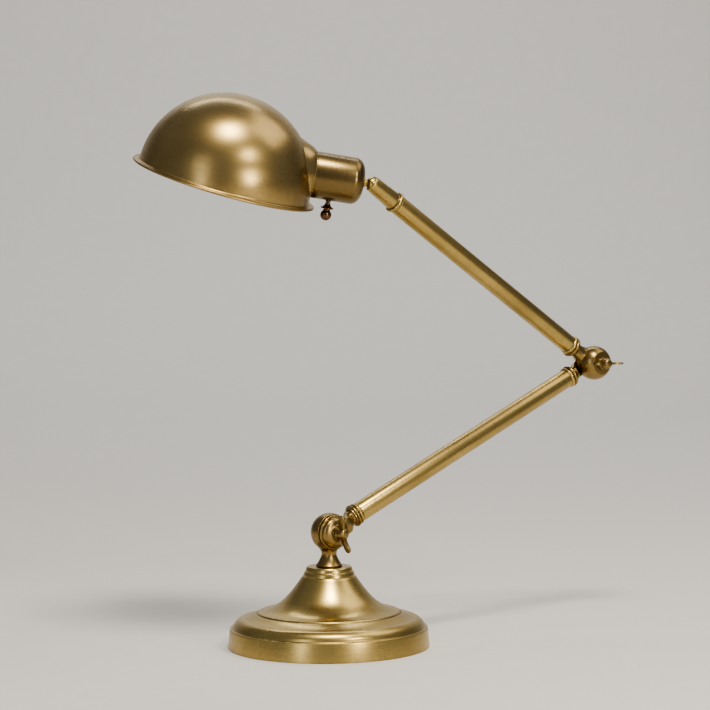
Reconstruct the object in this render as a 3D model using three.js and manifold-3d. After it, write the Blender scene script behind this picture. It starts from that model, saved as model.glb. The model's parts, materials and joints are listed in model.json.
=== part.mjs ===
// Swing arm desk lamp: weighted round base, two tube arms on ball-shaped friction knuckles with
// wing nuts, and a dome shade on a ball swivel, with the cord left out.
//
// Millimetres, +Z up. The origin is the middle of the base's underside. The arms fold in the
// XZ plane: the elbow points to +X and both wing nuts to -Y.

import * as THREE from 'three';
import { mergeVertices } from 'three/addons/utils/BufferGeometryUtils.js';
import Module from 'manifold-3d';

const wasm = await Module();
wasm.setup();

// ---- driving dimensions ----

const GAP = 0.3; // clearance between pieces that touch
const FINE = 40; // sides of the large turned pieces
const MEDIUM = 20;
const SMALL = 12;

const BASE_RADIUS = 95;
const BASE_TOP = 75.5; // height of the flat top that the stem stands on
const RIM_HEIGHT = 17.5;
const SHELL_WALL = 1.5;
const FELT = { radius: 90, top: 1.6 };
const WEIGHT = { radius: 86.5, edge: 15.5, top: 28, well: 14, wellRadius: 17 };
const CORD_HOLE = { radius: 3.8, height: 9 };

const KNUCKLE_HEIGHT = 108; // of the lower knuckle's pivot
const LOWER_KNUCKLE_RADIUS = 18;
const ELBOW_RADIUS = 17.5;
const PIN_RADIUS = 2.7;
const WING_SPAN = 36.8;
const LOWER_WING_TURN = 77; // degrees from level
const ELBOW_WING_TURN = 0;

const LOWER_ARM = { length: 360, rise: 24.5 }; // between pivots, degrees above level
const UPPER_ARM = { length: 330.5, rise: 33 };
const TUBE = { radius: 9.4, bore: 8.3 };
const RING_PLACE = 31; // from a pivot to the large turned ring
const RING_RADIUS = 11;
const NECK_RADIUS = 7.4;
const SPIGOT_LENGTH = 20; // inside the tube

const BALL_RADIUS = 6.5;
const SWIVEL_RADIUS = 8.1;
const SWIVEL_BACK = 29; // from the ball's centre to the swivel's back end

const HEAD = { yaw: 150, rise: 9.2, roll: -9.4 }; // degrees
const CUP = { back: 8.6, front: 56, radius: 22.4, wall: 1.2 };
const SWITCH_PLACE = 39; // from the ball's centre, along the cup
const DOME = { radius: 83, skirt: 4, wall: 1, reach: 140.1, drop: 23.1, tip: 6.3 };
const LIP_RADIUS = 89;
const BULB = { radius: 22.5, neck: 12.4, place: 94 };

const degrees = THREE.MathUtils.degToRad;

// ---- colours, one material per piece ----

const BRASS = { color: 0x8a6d3b, roughness: 0.38, metalness: 1 };
const DARK_BRASS = { color: 0x3b2a18, roughness: 0.4, metalness: 1 };
const STEEL = { color: 0x9a9a98, roughness: 0.4, metalness: 1 };
const IRON = { color: 0x2e2e2f, roughness: 0.8, metalness: 0.6 };
const FELT_GREEN = { color: 0x26352b, roughness: 1, metalness: 0 };
const BLACK_PLASTIC = { color: 0x141414, roughness: 0.5, metalness: 0 };
const FIBRE = { color: 0x2a1d16, roughness: 0.9, metalness: 0 };
const PORCELAIN = { color: 0xe9e6de, roughness: 0.25, metalness: 0 };
const GLASS = { color: 0xf4f1e8, roughness: 0.3, metalness: 0 };

function piece(name, geometry, look) {
  const mesh = new THREE.Mesh(geometry, new THREE.MeshStandardMaterial(look));
  mesh.name = name;
  return mesh;
}

function group(...children) {
  const holder = new THREE.Group();
  holder.add(...children);
  return holder;
}

// ---- solids ----

// A closed geometry as a solid. Triangles that collapse to a line at a pole are dropped.
function solidOf(geometry) {
  const bare = geometry.clone();
  bare.deleteAttribute('normal');
  bare.deleteAttribute('uv');
  const merged = mergeVertices(bare, 1e-4);
  const corners = merged.index.array;
  const kept = [];
  for (let i = 0; i < corners.length; i += 3) {
    const [a, b, c] = [corners[i], corners[i + 1], corners[i + 2]];
    if (a !== b && b !== c && c !== a) {
      kept.push(a, b, c);
    }
  }
  const mesh = new wasm.Mesh({
    numProp: 3,
    vertProperties: new Float32Array(merged.attributes.position.array),
    triVerts: new Uint32Array(kept),
  });
  return new wasm.Manifold(mesh);
}

function geometryOf(solid) {
  const mesh = solid.getMesh();
  const geometry = new THREE.BufferGeometry();
  geometry.setAttribute('position', new THREE.BufferAttribute(mesh.vertProperties, 3));
  geometry.setIndex(new THREE.BufferAttribute(mesh.triVerts, 1));
  geometry.computeVertexNormals();
  return geometry;
}

function join(first, ...others) {
  const whole = others.reduce((sum, next) => sum.add(solidOf(next)), solidOf(first));
  return geometryOf(whole);
}

function cut(body, ...tools) {
  const rest = tools.reduce((left, tool) => left.subtract(solidOf(tool)), solidOf(body));
  return geometryOf(rest);
}

// A closed outline of [radius, place] turned about an axis; the place runs along that axis.
function turned(outline, sides = MEDIUM, axis = 'z', arcSteps = 2) {
  const points = outline instanceof THREE.Path
    ? outline.getPoints(arcSteps)
    : outline.map(([radius, place]) => new THREE.Vector2(radius, place));
  if (THREE.ShapeUtils.area(points) < 0) {
    points.reverse();
  }
  const geometry = new THREE.LatheGeometry(points, sides);
  geometry.rotateX(Math.PI / 2);
  if (axis === 'x') {
    geometry.rotateY(Math.PI / 2);
  }
  if (axis === 'front') {
    geometry.rotateX(Math.PI / 2);
  }
  return geometryOf(solidOf(geometry));
}

function rod(radius, from, to, sides = SMALL, axis = 'z') {
  return turned([[0, from], [radius, from], [radius, to], [0, to]], sides, axis);
}

function ring(inner, outer, from, to, sides = MEDIUM, axis = 'z') {
  const outline = [[inner, from], [outer, from], [outer, to], [inner, to], [inner, from]];
  return turned(outline, sides, axis);
}

function block(low, high) {
  const size = high.map((value, i) => value - low[i]);
  const middle = high.map((value, i) => (value + low[i]) / 2);
  return new THREE.BoxGeometry(...size).translate(...middle);
}

// Rings of an oval section with its centre moved sideways, closed by a fan at each end.
// Each station is {along, side, halfSide, halfHeight}; along is +X and side is -Y.
function lofted(stations, sides) {
  const positions = [];
  const index = [];
  for (const { along, side, halfSide, halfHeight } of stations) {
    for (let i = 0; i < sides; i += 1) {
      const turn = (2 * Math.PI * (i + 0.5)) / sides;
      positions.push(along, -side - halfSide * Math.cos(turn), halfHeight * Math.sin(turn));
    }
  }
  const last = stations.length - 1;
  positions.push(stations[0].along, -stations[0].side, 0);
  positions.push(stations[last].along, -stations[last].side, 0);
  for (let i = 0; i < sides; i += 1) {
    const next = (i + 1) % sides;
    for (let s = 0; s < last; s += 1) {
      const [a, b] = [s * sides + i, s * sides + next];
      index.push(a, b + sides, b, a, a + sides, b + sides);
    }
    index.push(stations.length * sides, i, next);
    index.push(stations.length * sides + 1, last * sides + next, last * sides + i);
  }
  const geometry = new THREE.BufferGeometry();
  geometry.setAttribute('position', new THREE.Float32BufferAttribute(positions, 3));
  geometry.setIndex(index);
  return geometry;
}

// ---- base ----

const RIM_STEP = { radius: BASE_RADIUS - 3.6, height: RIM_HEIGHT + 1.4 };
const SOFT_CREASE = { radius: 77, height: 27.4 };
const GROOVE = { radius: 70, height: 30.9 };
const CONE_FOOT = { radius: 67, height: 32.4 };
const CONE_WAIST = { radius: 44, height: 43.5 };
const CONE_TOP = { radius: 24.9, height: 67 };
const TOP_RADIUS = 21.4;

// The outside of the spun shell, from the rim's foot to the top of the cone, moved in by an
// inset: rim, shallow slope with a crease and a groove in it, and a flaring cone.
function shellOutline(path, inset) {
  const to = ({ radius, height }) => path.lineTo(radius - inset, height - inset);
  const curveTo = (controlRadius, controlHeight, { radius, height }) => {
    path.quadraticCurveTo(controlRadius - inset, controlHeight - inset, radius - inset, height - inset);
  };
  path.lineTo(BASE_RADIUS - inset, GAP);
  to({ radius: BASE_RADIUS - 1.6, height: RIM_HEIGHT + 0.3 });
  to({ radius: BASE_RADIUS - 2.6, height: RIM_HEIGHT + 1.2 });
  to(RIM_STEP);
  curveTo(88, 23.6, SOFT_CREASE);
  curveTo(74, 30, { radius: GROOVE.radius + 1, height: GROOVE.height + 0.5 });
  to(GROOVE);
  to({ radius: GROOVE.radius - 1, height: GROOVE.height + 1.4 });
  to(CONE_FOOT);
  curveTo(55, 35.6, CONE_WAIST);
  curveTo(37.5, 48.6, CONE_TOP);
}

function baseShell() {
  const outside = new THREE.Path();
  outside.moveTo(0, GAP);
  shellOutline(outside, 0);
  outside.lineTo(CONE_TOP.radius - 0.3, CONE_TOP.height + 0.9);
  outside.lineTo(TOP_RADIUS + 1.5, BASE_TOP - 4.1);
  outside.lineTo(TOP_RADIUS + 1.1, BASE_TOP - 3.3);
  outside.lineTo(TOP_RADIUS, BASE_TOP - 0.8);
  outside.lineTo(TOP_RADIUS - 0.8, BASE_TOP);
  outside.lineTo(0, BASE_TOP);
  const inside = new THREE.Path();
  inside.moveTo(0, -1);
  inside.lineTo(BASE_RADIUS - SHELL_WALL, -1);
  shellOutline(inside, SHELL_WALL);
  inside.lineTo(TOP_RADIUS - 1, BASE_TOP - 2.5);
  inside.lineTo(0, BASE_TOP - 2.5);
  const nippleHole = rod(NIPPLE.radius + GAP, BASE_TOP - 5, BASE_TOP + 1);
  const bushHole = rod(BUSH.neck + GAP, BASE_RADIUS - 6, BASE_RADIUS + 2);
  bushHole.rotateX(-Math.PI / 2);
  bushHole.translate(0, 0, CORD_HOLE.height);
  return cut(turned(outside, FINE, 'z', 4), turned(inside, FINE, 'z', 3), nippleHole, bushHole);
}

const NIPPLE = { radius: 5, bore: 3.5, from: 7.5, to: 92 };
const BUSH = { neck: 5.4, flange: 7, from: BASE_RADIUS - 6.5, to: BASE_RADIUS + 1.4 };

function baseWeight() {
  const outline = [
    [NIPPLE.radius + GAP, WEIGHT.top],
    [NIPPLE.radius + GAP, WEIGHT.well],
    [WEIGHT.wellRadius, WEIGHT.well],
    [WEIGHT.wellRadius, FELT.top + GAP],
    [WEIGHT.radius, FELT.top + GAP],
    [WEIGHT.radius, WEIGHT.edge],
    [66, WEIGHT.top - 3.5],
    [60, WEIGHT.top],
    [NIPPLE.radius + GAP, WEIGHT.top],
  ];
  const cordChannel = block([-5, 10, 0], [5, BASE_RADIUS, 13.5]);
  const bushRoom = block([-9, BUSH.from - 4, 0], [9, BASE_RADIUS, 18]);
  return cut(turned(outline, FINE), cordChannel, bushRoom);
}

// The grommet in the rim's back wall that the cord would come out of.
function cordBush() {
  const outline = [
    [CORD_HOLE.radius, BUSH.from],
    [BUSH.flange, BUSH.from],
    [BUSH.flange, BASE_RADIUS - SHELL_WALL - 2.5],
    [BUSH.neck, BASE_RADIUS - SHELL_WALL - 2.5],
    [BUSH.neck, BASE_RADIUS + GAP],
    [BUSH.flange, BASE_RADIUS + GAP],
    [BUSH.flange, BUSH.to - 0.6],
    [BUSH.flange - 0.6, BUSH.to],
    [CORD_HOLE.radius, BUSH.to],
    [CORD_HOLE.radius, BUSH.from],
  ];
  const bush = turned(outline, SMALL);
  bush.rotateX(-Math.PI / 2);
  bush.translate(0, 0, CORD_HOLE.height);
  return bush;
}

function hexNut(acrossFlats, bore, from, to) {
  const blank = rod(acrossFlats / Math.sqrt(3), from, to, 6);
  return cut(blank, rod(bore, from - 1, to + 1));
}

function base() {
  return group(
    piece('base_felt', rod(FELT.radius, 0, FELT.top, FINE), FELT_GREEN),
    piece('base_weight', baseWeight(), IRON),
    piece('base_shell', baseShell(), BRASS),
    piece('cord_bush', cordBush(), BLACK_PLASTIC),
  );
}

function stemFixing() {
  return group(
    piece('stem_nipple', ring(NIPPLE.bore, NIPPLE.radius, NIPPLE.from, NIPPLE.to, SMALL), STEEL),
    piece('stem_washer', ring(NIPPLE.radius + GAP, 13, 12, 13.7), STEEL),
    piece('stem_nut', hexNut(17, NIPPLE.radius + GAP, 5.5, 11.7), STEEL),
  );
}

// ---- knuckles ----
//
// A knuckle is a ball split across its pin into a ball half and a thinner cap half. The pin axis
// runs to the front, -Y, and depths count along it. A half is drawn from the ball's centre
// towards the cap, and the ball's centre stands forward of the plane that the arms lie in.

const BALL_FACE = 5.6; // the ball half's mating face
const CAP_FACE = BALL_FACE + 1.2;
const LOWER_KNUCKLE = { radius: LOWER_KNUCKLE_RADIUS, forward: 1.5, ballInFront: false };
const ELBOW_KNUCKLE = { radius: ELBOW_RADIUS, forward: 5, ballInFront: true };

const ballFlat = (radius) => 0.74 * radius;
const capTop = (radius) => 0.83 * radius;
const capRadius = (radius) => 0.88 * radius;

// Depths of the knuckle's two ends, where the bolt head and the wing washer sit.
function knuckleEnds({ radius, forward, ballInFront }) {
  return ballInFront
    ? { back: forward - capTop(radius), front: forward + ballFlat(radius) }
    : { back: forward - ballFlat(radius), front: forward + capTop(radius) };
}

// Moves a shape drawn about the ball's centre, with the cap to the front, into its knuckle.
function intoKnuckle(geometry, { forward, ballInFront }) {
  if (ballInFront) {
    geometry.rotateZ(Math.PI);
  }
  return geometry.translate(0, -forward, 0);
}

function ballHalf(knuckle) {
  const { radius } = knuckle;
  const flat = -ballFlat(radius);
  const outline = new THREE.Path();
  outline.moveTo(0, flat);
  outline.lineTo(Math.sqrt(radius ** 2 - flat ** 2), flat);
  const from = Math.asin(flat / radius);
  const to = Math.asin(BALL_FACE / radius);
  outline.absarc(0, 0, radius, from, to, false);
  outline.lineTo(0, BALL_FACE);
  return intoKnuckle(turned(outline, MEDIUM, 'front', 3), knuckle);
}

function capHalf(knuckle) {
  const { radius } = knuckle;
  const rim = capRadius(radius);
  const top = capTop(radius);
  const outline = new THREE.Path();
  outline.moveTo(0, CAP_FACE - 0.2);
  outline.lineTo(rim - 0.6, CAP_FACE - 0.2);
  outline.lineTo(rim, CAP_FACE + 0.6);
  outline.lineTo(rim, CAP_FACE + 1.6);
  outline.lineTo(rim - 0.7, CAP_FACE + 2.2);
  outline.lineTo(rim - 1.5, CAP_FACE + 2.4);
  outline.quadraticCurveTo(0.72 * radius, top - 1.7, 0.46 * radius, top - 1);
  outline.lineTo(0.43 * radius, top);
  outline.lineTo(0, top);
  return intoKnuckle(turned(outline, MEDIUM, 'front', 3), knuckle);
}

function pinHole(knuckle) {
  const { back, front } = knuckleEnds(knuckle);
  return rod(PIN_RADIUS + GAP, back - 2, front + 2, SMALL, 'front');
}

// A pocket in a mating face that the wires pass through.
function wirePocket(knuckle, from, to) {
  const { radius } = knuckle;
  return intoKnuckle(ring(0.36 * radius, 0.62 * radius, from, to, SMALL, 'front'), knuckle);
}

// The space that the cap half turns in, and the space that the ball half turns in.
function capRoom(knuckle) {
  const room = rod(capRadius(knuckle.radius) + 0.6, BALL_FACE, knuckle.radius + 8, MEDIUM, 'front');
  return intoKnuckle(room, knuckle);
}

function ballRoom(knuckle) {
  const { radius } = knuckle;
  const room = rod(radius + 0.6, -radius - 8, CAP_FACE, MEDIUM, 'front');
  return intoKnuckle(room, knuckle);
}

// The waisted neck, the large ring and the spigot that the tube slips over.
function neckOutline(start) {
  const outline = new THREE.Path();
  outline.moveTo(0, start);
  outline.lineTo(NECK_RADIUS, start);
  outline.lineTo(NECK_RADIUS - 0.2, RING_PLACE - 5.8);
  outline.quadraticCurveTo(NECK_RADIUS, RING_PLACE - 4.2, RING_RADIUS - 1.6, RING_PLACE - 2.6);
  outline.lineTo(RING_RADIUS - 1.2, RING_PLACE - 1.9);
  outline.absarc(RING_RADIUS - 1.7, RING_PLACE, 1.7, -Math.PI / 2, Math.PI / 2, false);
  outline.lineTo(TUBE.radius, RING_PLACE + 1.9);
  outline.lineTo(TUBE.bore - GAP, RING_PLACE + 1.9);
  outline.lineTo(TUBE.bore - GAP, RING_PLACE + SPIGOT_LENGTH);
  outline.lineTo(0, RING_PLACE + SPIGOT_LENGTH);
  return outline;
}

const WIRE_BORE = 3.4;

function wireBore(from) {
  return rod(WIRE_BORE, from, RING_PLACE + SPIGOT_LENGTH + 2, SMALL, 'x');
}

// A ball half at an arm's root, with its neck along +X.
function ballKnuckle(knuckle) {
  const { radius } = knuckle;
  const neck = turned(neckOutline(radius * 0.6), MEDIUM, 'x');
  return cut(
    join(ballHalf(knuckle), cut(neck, capRoom(knuckle))),
    pinHole(knuckle),
    wirePocket(knuckle, BALL_FACE - 8, BALL_FACE + 1),
    wireBore(radius * 0.55),
  );
}

// A cap half at an arm's root. The neck bends from the cap to the arms' plane outside the ball,
// with its neck along +X. The arm's root is drawn with the cap to the front.
function capKnuckle({ radius, forward }, sign) {
  const depth = sign * forward + CAP_FACE + 2.6;
  const knuckle = { radius, forward: sign * forward, ballInFront: false };
  const neck = turned(neckOutline(RING_PLACE - 6.4), MEDIUM, 'x');
  const bend = lofted([
    { along: radius * 0.5, side: depth, halfSide: 2.2, halfHeight: radius * 0.5 },
    { along: radius * 0.96, side: depth - 0.4, halfSide: 3, halfHeight: NECK_RADIUS + 1 },
    { along: radius + 2.5, side: depth * 0.66, halfSide: 5, halfHeight: NECK_RADIUS + 0.7 },
    { along: RING_PLACE - 6.2, side: depth * 0.16, halfSide: 6.5, halfHeight: NECK_RADIUS - 0.3 },
    { along: RING_PLACE - 2, side: 0, halfSide: NECK_RADIUS - 1.2, halfHeight: NECK_RADIUS - 1.2 },
  ], SMALL);
  return cut(
    join(capHalf(knuckle), bend, neck),
    ballRoom(knuckle),
    pinHole(knuckle),
    wirePocket(knuckle, CAP_FACE - 1, CAP_FACE + 3),
    wireBore(radius + 3),
  );
}

const STEM_FOOT = 12.4;
const STEM_NECK = { radius: 7.3, height: BASE_TOP + 10.4 };
const STEM_TOP = { radius: 8.8, height: BASE_TOP + 17 };

// The stem: a flared foot on the base, a waist and the ball half of the lower knuckle.
function stem() {
  const foot = new THREE.Path();
  foot.moveTo(0, BASE_TOP + GAP);
  foot.lineTo(STEM_FOOT, BASE_TOP + GAP);
  foot.lineTo(STEM_FOOT, BASE_TOP + 1.4);
  foot.quadraticCurveTo(STEM_FOOT - 2.8, BASE_TOP + 4.4, STEM_NECK.radius, STEM_NECK.height);
  foot.quadraticCurveTo(STEM_NECK.radius, BASE_TOP + 14, STEM_TOP.radius, STEM_TOP.height);
  foot.lineTo(STEM_TOP.radius, KNUCKLE_HEIGHT - 10);
  foot.lineTo(0, KNUCKLE_HEIGHT - 10);
  const rise = (geometry) => geometry.translate(0, 0, KNUCKLE_HEIGHT);
  const neck = cut(turned(foot, MEDIUM), rise(capRoom(LOWER_KNUCKLE)));
  return cut(
    join(rise(ballHalf(LOWER_KNUCKLE)), neck),
    rise(pinHole(LOWER_KNUCKLE)),
    rise(wirePocket(LOWER_KNUCKLE, BALL_FACE - 8, BALL_FACE + 1)),
    rod(NIPPLE.radius + GAP, BASE_TOP - 1, NIPPLE.to + 1),
    rod(WIRE_BORE, NIPPLE.to - 1, KNUCKLE_HEIGHT - 8),
  );
}

function frictionWasher(knuckle) {
  const washer = ring(
    PIN_RADIUS + GAP, 0.78 * knuckle.radius, BALL_FACE + GAP, CAP_FACE - GAP, MEDIUM, 'front',
  );
  return intoKnuckle(washer, knuckle);
}

const BOLT_HEAD = { radius: 5.6, height: 3.4 };
const WING_WASHER = 1.2;
const THREAD_PAST_CAP = 6; // of the bolt, inside the wing nut

// A round-headed slotted bolt, head at the back.
function pivotBolt(knuckle) {
  const { back: flat, front } = knuckleEnds(knuckle);
  const shank = front + THREAD_PAST_CAP;
  const top = flat - BOLT_HEAD.height;
  const outline = new THREE.Path();
  outline.moveTo(0, top);
  outline.quadraticCurveTo(BOLT_HEAD.radius - 1.2, top, BOLT_HEAD.radius, flat - 1.6);
  outline.lineTo(BOLT_HEAD.radius, flat - GAP);
  outline.lineTo(PIN_RADIUS, flat - GAP);
  outline.lineTo(PIN_RADIUS, shank);
  outline.lineTo(0, shank);
  const slot = block([-7, -flat + 2, -0.6], [7, -flat + 5, 0.6]);
  return cut(turned(outline, SMALL, 'front'), slot);
}

function wingWasher(knuckle) {
  const seat = knuckleEnds(knuckle).front + GAP;
  return ring(PIN_RADIUS + GAP, 6.9, seat, seat + WING_WASHER, MEDIUM, 'front');
}

// One ear of the wing nut: a rounded leaf that leans outwards, drawn as radius from the pin
// against place along the pin.
function ear(seat) {
  const tip = WING_SPAN / 2;
  const outline = new THREE.Shape();
  outline.moveTo(3.6, seat + 1.4);
  outline.lineTo(6.4, seat + 1.4);
  outline.quadraticCurveTo(10, seat + 2.4, tip - 1.2, seat + 5.6);
  outline.absarc(tip - 3.6, seat + 8.6, 3.6, -0.7, 2, false);
  outline.quadraticCurveTo(9.6, seat + 8.6, 3.6, seat + 8);
  const thickness = 2.2;
  const geometry = new THREE.ExtrudeGeometry(outline, {
    depth: thickness - 0.8,
    bevelThickness: 0.4,
    bevelSize: 0.4,
    bevelSegments: 1,
    curveSegments: 5,
  });
  geometry.translate(0, 0, 0.4 - thickness / 2);
  return geometry.rotateX(Math.PI);
}

function wingNut(knuckle, turn) {
  const { front } = knuckleEnds(knuckle);
  const seat = front + WING_WASHER + 2 * GAP;
  const hub = new THREE.Path();
  hub.moveTo(0, seat);
  hub.lineTo(6.3, seat);
  hub.lineTo(6.3, seat + 1);
  hub.lineTo(5.4, seat + 6.5);
  hub.quadraticCurveTo(5.2, seat + 9.4, 0, seat + 9.8);
  const nut = cut(
    join(turned(hub, SMALL, 'front'), ear(seat), ear(seat).rotateY(Math.PI)),
    rod(PIN_RADIUS + GAP, seat - 1, front + THREAD_PAST_CAP + 0.5, SMALL, 'front'),
  );
  return nut.rotateY(degrees(turn));
}

function knuckleFixing(name, knuckle, wingTurn) {
  return group(
    piece(`${name}_friction_washer`, frictionWasher(knuckle), FIBRE),
    piece(`${name}_bolt`, pivotBolt(knuckle), BRASS),
    piece(`${name}_wing_washer`, wingWasher(knuckle), BRASS),
    piece(`${name}_wing_nut`, wingNut(knuckle, wingTurn), BRASS),
  );
}

// ---- arms, along +X from the near pivot ----

const COLLAR_START = RING_PLACE + 1.9 + GAP;
const COLLAR_END = COLLAR_START + 3.6;

// The small turned collar between the large ring and the tube.
function collar() {
  const outline = new THREE.Path();
  outline.moveTo(TUBE.bore, COLLAR_START);
  outline.lineTo(TUBE.radius + 0.2, COLLAR_START);
  outline.quadraticCurveTo(TUBE.radius + 2.2, (COLLAR_START + COLLAR_END) / 2, TUBE.radius, COLLAR_END);
  outline.lineTo(TUBE.bore, COLLAR_END);
  outline.lineTo(TUBE.bore, COLLAR_START);
  return turned(outline, MEDIUM, 'x');
}

function tube(from, to) {
  return ring(TUBE.bore, TUBE.radius, from, to, MEDIUM, 'x');
}

// Turns a piece made at the near end to face back from the far end, its front to the back.
function farEnd(geometry, length) {
  return geometry.rotateZ(Math.PI).translate(length, 0, 0);
}

function lowerArm() {
  const { length } = LOWER_ARM;
  return group(
    piece('lower_arm_knuckle', capKnuckle(LOWER_KNUCKLE, 1), BRASS),
    piece('lower_arm_lower_collar', collar(), BRASS),
    piece('lower_arm_tube', tube(COLLAR_END + GAP, length - COLLAR_END - GAP), BRASS),
    piece('lower_arm_upper_collar', farEnd(collar(), length), BRASS),
    piece('elbow_back_knuckle', farEnd(capKnuckle(ELBOW_KNUCKLE, -1), length), BRASS),
  );
}

const TIP_RING = 4.9; // length of the bead ring at the arm's end
const SWIVEL_PIVOT = { radius: 6.3, length: 20 };

// The upper arm's end piece: a spigot in the tube, the bead ring and the swivel's pivot.
function armTip() {
  const place = UPPER_ARM.length - SWIVEL_BACK;
  const spigotEnd = place - TIP_RING - SPIGOT_LENGTH;
  const outline = new THREE.Path();
  outline.moveTo(WIRE_BORE, spigotEnd);
  outline.lineTo(TUBE.bore - GAP, spigotEnd);
  outline.lineTo(TUBE.bore - GAP, place - TIP_RING);
  outline.lineTo(TUBE.radius + 0.1, place - TIP_RING);
  outline.lineTo(RING_RADIUS - 1.4, place - 4.4);
  outline.absarc(RING_RADIUS - 1.9, place - 2.6, 1.9, -Math.PI / 3, Math.PI / 3, false);
  outline.lineTo(8.4, place - 0.6);
  outline.lineTo(8.4, place - GAP);
  outline.lineTo(SWIVEL_PIVOT.radius, place - GAP);
  outline.lineTo(SWIVEL_PIVOT.radius, place + SWIVEL_PIVOT.length);
  outline.lineTo(WIRE_BORE, place + SWIVEL_PIVOT.length);
  outline.lineTo(WIRE_BORE, spigotEnd);
  return turned(outline, MEDIUM, 'x');
}

function upperArm() {
  const tipPlace = UPPER_ARM.length - SWIVEL_BACK - TIP_RING;
  return group(
    piece('upper_arm_knuckle', ballKnuckle(ELBOW_KNUCKLE), BRASS),
    piece('upper_arm_lower_collar', collar(), BRASS),
    piece('upper_arm_tube', tube(COLLAR_END + GAP, tipPlace - GAP), BRASS),
    piece('upper_arm_tip', armTip(), BRASS),
  );
}

// ---- head swivel ----
//
// The swivel sleeve turns on the arm's tip and holds the ball; its slot lets the ball's neck
// tilt further on one side. Places count from the ball's centre.

const MOUTH = 2.2; // how far the sleeve reaches past the ball's centre
const STUD_RADIUS = 3.2;

// Along +X, the slot on the +Z side.
function swivelSleeve() {
  const bore = BALL_RADIUS + GAP;
  const outline = new THREE.Path();
  outline.moveTo(bore, -SWIVEL_BACK);
  outline.lineTo(SWIVEL_RADIUS - 0.5, -SWIVEL_BACK);
  outline.lineTo(SWIVEL_RADIUS, -SWIVEL_BACK + 0.5);
  outline.lineTo(SWIVEL_RADIUS, -2);
  outline.quadraticCurveTo(SWIVEL_RADIUS, MOUTH - 0.4, bore + 0.3, MOUTH);
  outline.lineTo(Math.sqrt(bore ** 2 - MOUTH ** 2), MOUTH);
  outline.absarc(0, 0, bore, Math.asin(MOUTH / bore), 0, true);
  outline.lineTo(bore, -SWIVEL_BACK);
  const width = STUD_RADIUS + 0.4;
  const slot = block([-2.6, -width, 0], [MOUTH + 1, width, SWIVEL_RADIUS + 1]);
  return cut(turned(outline, MEDIUM, 'x'), slot);
}

function ballStud() {
  const neckStart = Math.sqrt(BALL_RADIUS ** 2 - STUD_RADIUS ** 2);
  const outline = new THREE.Path();
  outline.moveTo(0, -BALL_RADIUS);
  outline.absarc(0, 0, BALL_RADIUS, -Math.PI / 2, Math.atan2(neckStart, STUD_RADIUS), false);
  outline.lineTo(STUD_RADIUS, CUP.back - 2.2);
  outline.lineTo(5.4, CUP.back - 1.9);
  outline.lineTo(5.4, CUP.back - GAP);
  outline.lineTo(3, CUP.back - GAP);
  outline.lineTo(3, CUP.back + 10);
  outline.lineTo(0, CUP.back + 10);
  return turned(outline, SMALL, 'x', 4);
}

// ---- head, along +X from the ball's centre ----

function socketCup() {
  const shoulder = { along: 8, across: 12.6 };
  const wall = (inset) => {
    const outline = new THREE.Path();
    const back = CUP.back + inset;
    const radius = CUP.radius - inset;
    outline.moveTo(0, back);
    outline.lineTo(radius - shoulder.across, back);
    outline.absellipse(radius - shoulder.across, back + shoulder.along,
      shoulder.across, shoulder.along, -Math.PI / 2, 0, false);
    outline.lineTo(radius, CUP.front + inset * 4);
    outline.lineTo(0, CUP.front + inset * 4);
    return turned(outline, FINE, 'x');
  };
  const studHole = rod(3 + GAP, CUP.back - 2, CUP.back + 4, SMALL, 'x');
  const switchHole = rod(BUSHING.radius + GAP, -CUP.radius - 2, -CUP.radius + 4);
  switchHole.translate(SWITCH_PLACE, 0, 0);
  return cut(wall(0), wall(CUP.wall), studHole, switchHole);
}

const BUSHING = { radius: 2.6, bore: 1.5 };

function neckFerrule() {
  const outer = CUP.radius - CUP.wall - GAP;
  return ring(outer - 1.2, outer, CUP.front - 5, CUP.front + 4, FINE, 'x');
}

// The dome frame: origin in the middle of the lip, +Z out of the dome's top.
function toHead(geometry) {
  return geometry.rotateY(degrees(-DOME.tip)).translate(DOME.reach, 0, -DOME.drop);
}

// The dome's outside or inside. The lip flares over the last millimetres and ends in a bead.
function domeSolid(inset) {
  const radius = DOME.radius - inset;
  const outline = new THREE.Path();
  outline.moveTo(0, inset > 0 ? -4 : 0);
  if (inset > 0) {
    outline.lineTo(LIP_RADIUS - 1, -4);
    outline.lineTo(LIP_RADIUS - 2.2, -0.2);
  } else {
    outline.lineTo(LIP_RADIUS, 0);
    outline.lineTo(LIP_RADIUS, 1.6);
  }
  outline.quadraticCurveTo(radius + 0.6, 0.8 + 1.6 * (1 - inset), radius, DOME.skirt);
  outline.absarc(0, DOME.skirt, radius, 0, Math.PI / 2, false);
  return toHead(turned(outline, FINE, 'z', 4));
}

const NECK_FLARE = { from: 2, along: 21.5, across: 10.4 };

// The neck between cup and dome, flaring into the dome.
function shadeNeck(inset) {
  const start = CUP.front + GAP;
  const radius = CUP.radius - inset;
  const outline = new THREE.Path();
  outline.moveTo(0, start - inset * 4);
  outline.lineTo(radius, start - inset * 4);
  outline.lineTo(radius, start + NECK_FLARE.from);
  outline.quadraticCurveTo(
    radius,
    start + NECK_FLARE.from + NECK_FLARE.along * 0.6,
    radius + NECK_FLARE.across,
    start + NECK_FLARE.from + NECK_FLARE.along,
  );
  outline.lineTo(0, start + NECK_FLARE.from + NECK_FLARE.along);
  return turned(outline, FINE, 'x', 3);
}

function shade() {
  const outside = join(domeSolid(0), shadeNeck(0));
  const inside = join(domeSolid(DOME.wall), shadeNeck(DOME.wall));
  return cut(outside, inside);
}

const HOLDER = { back: CUP.back + 8.6, front: 54, radius: 17, bore: 14.6 };

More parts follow.
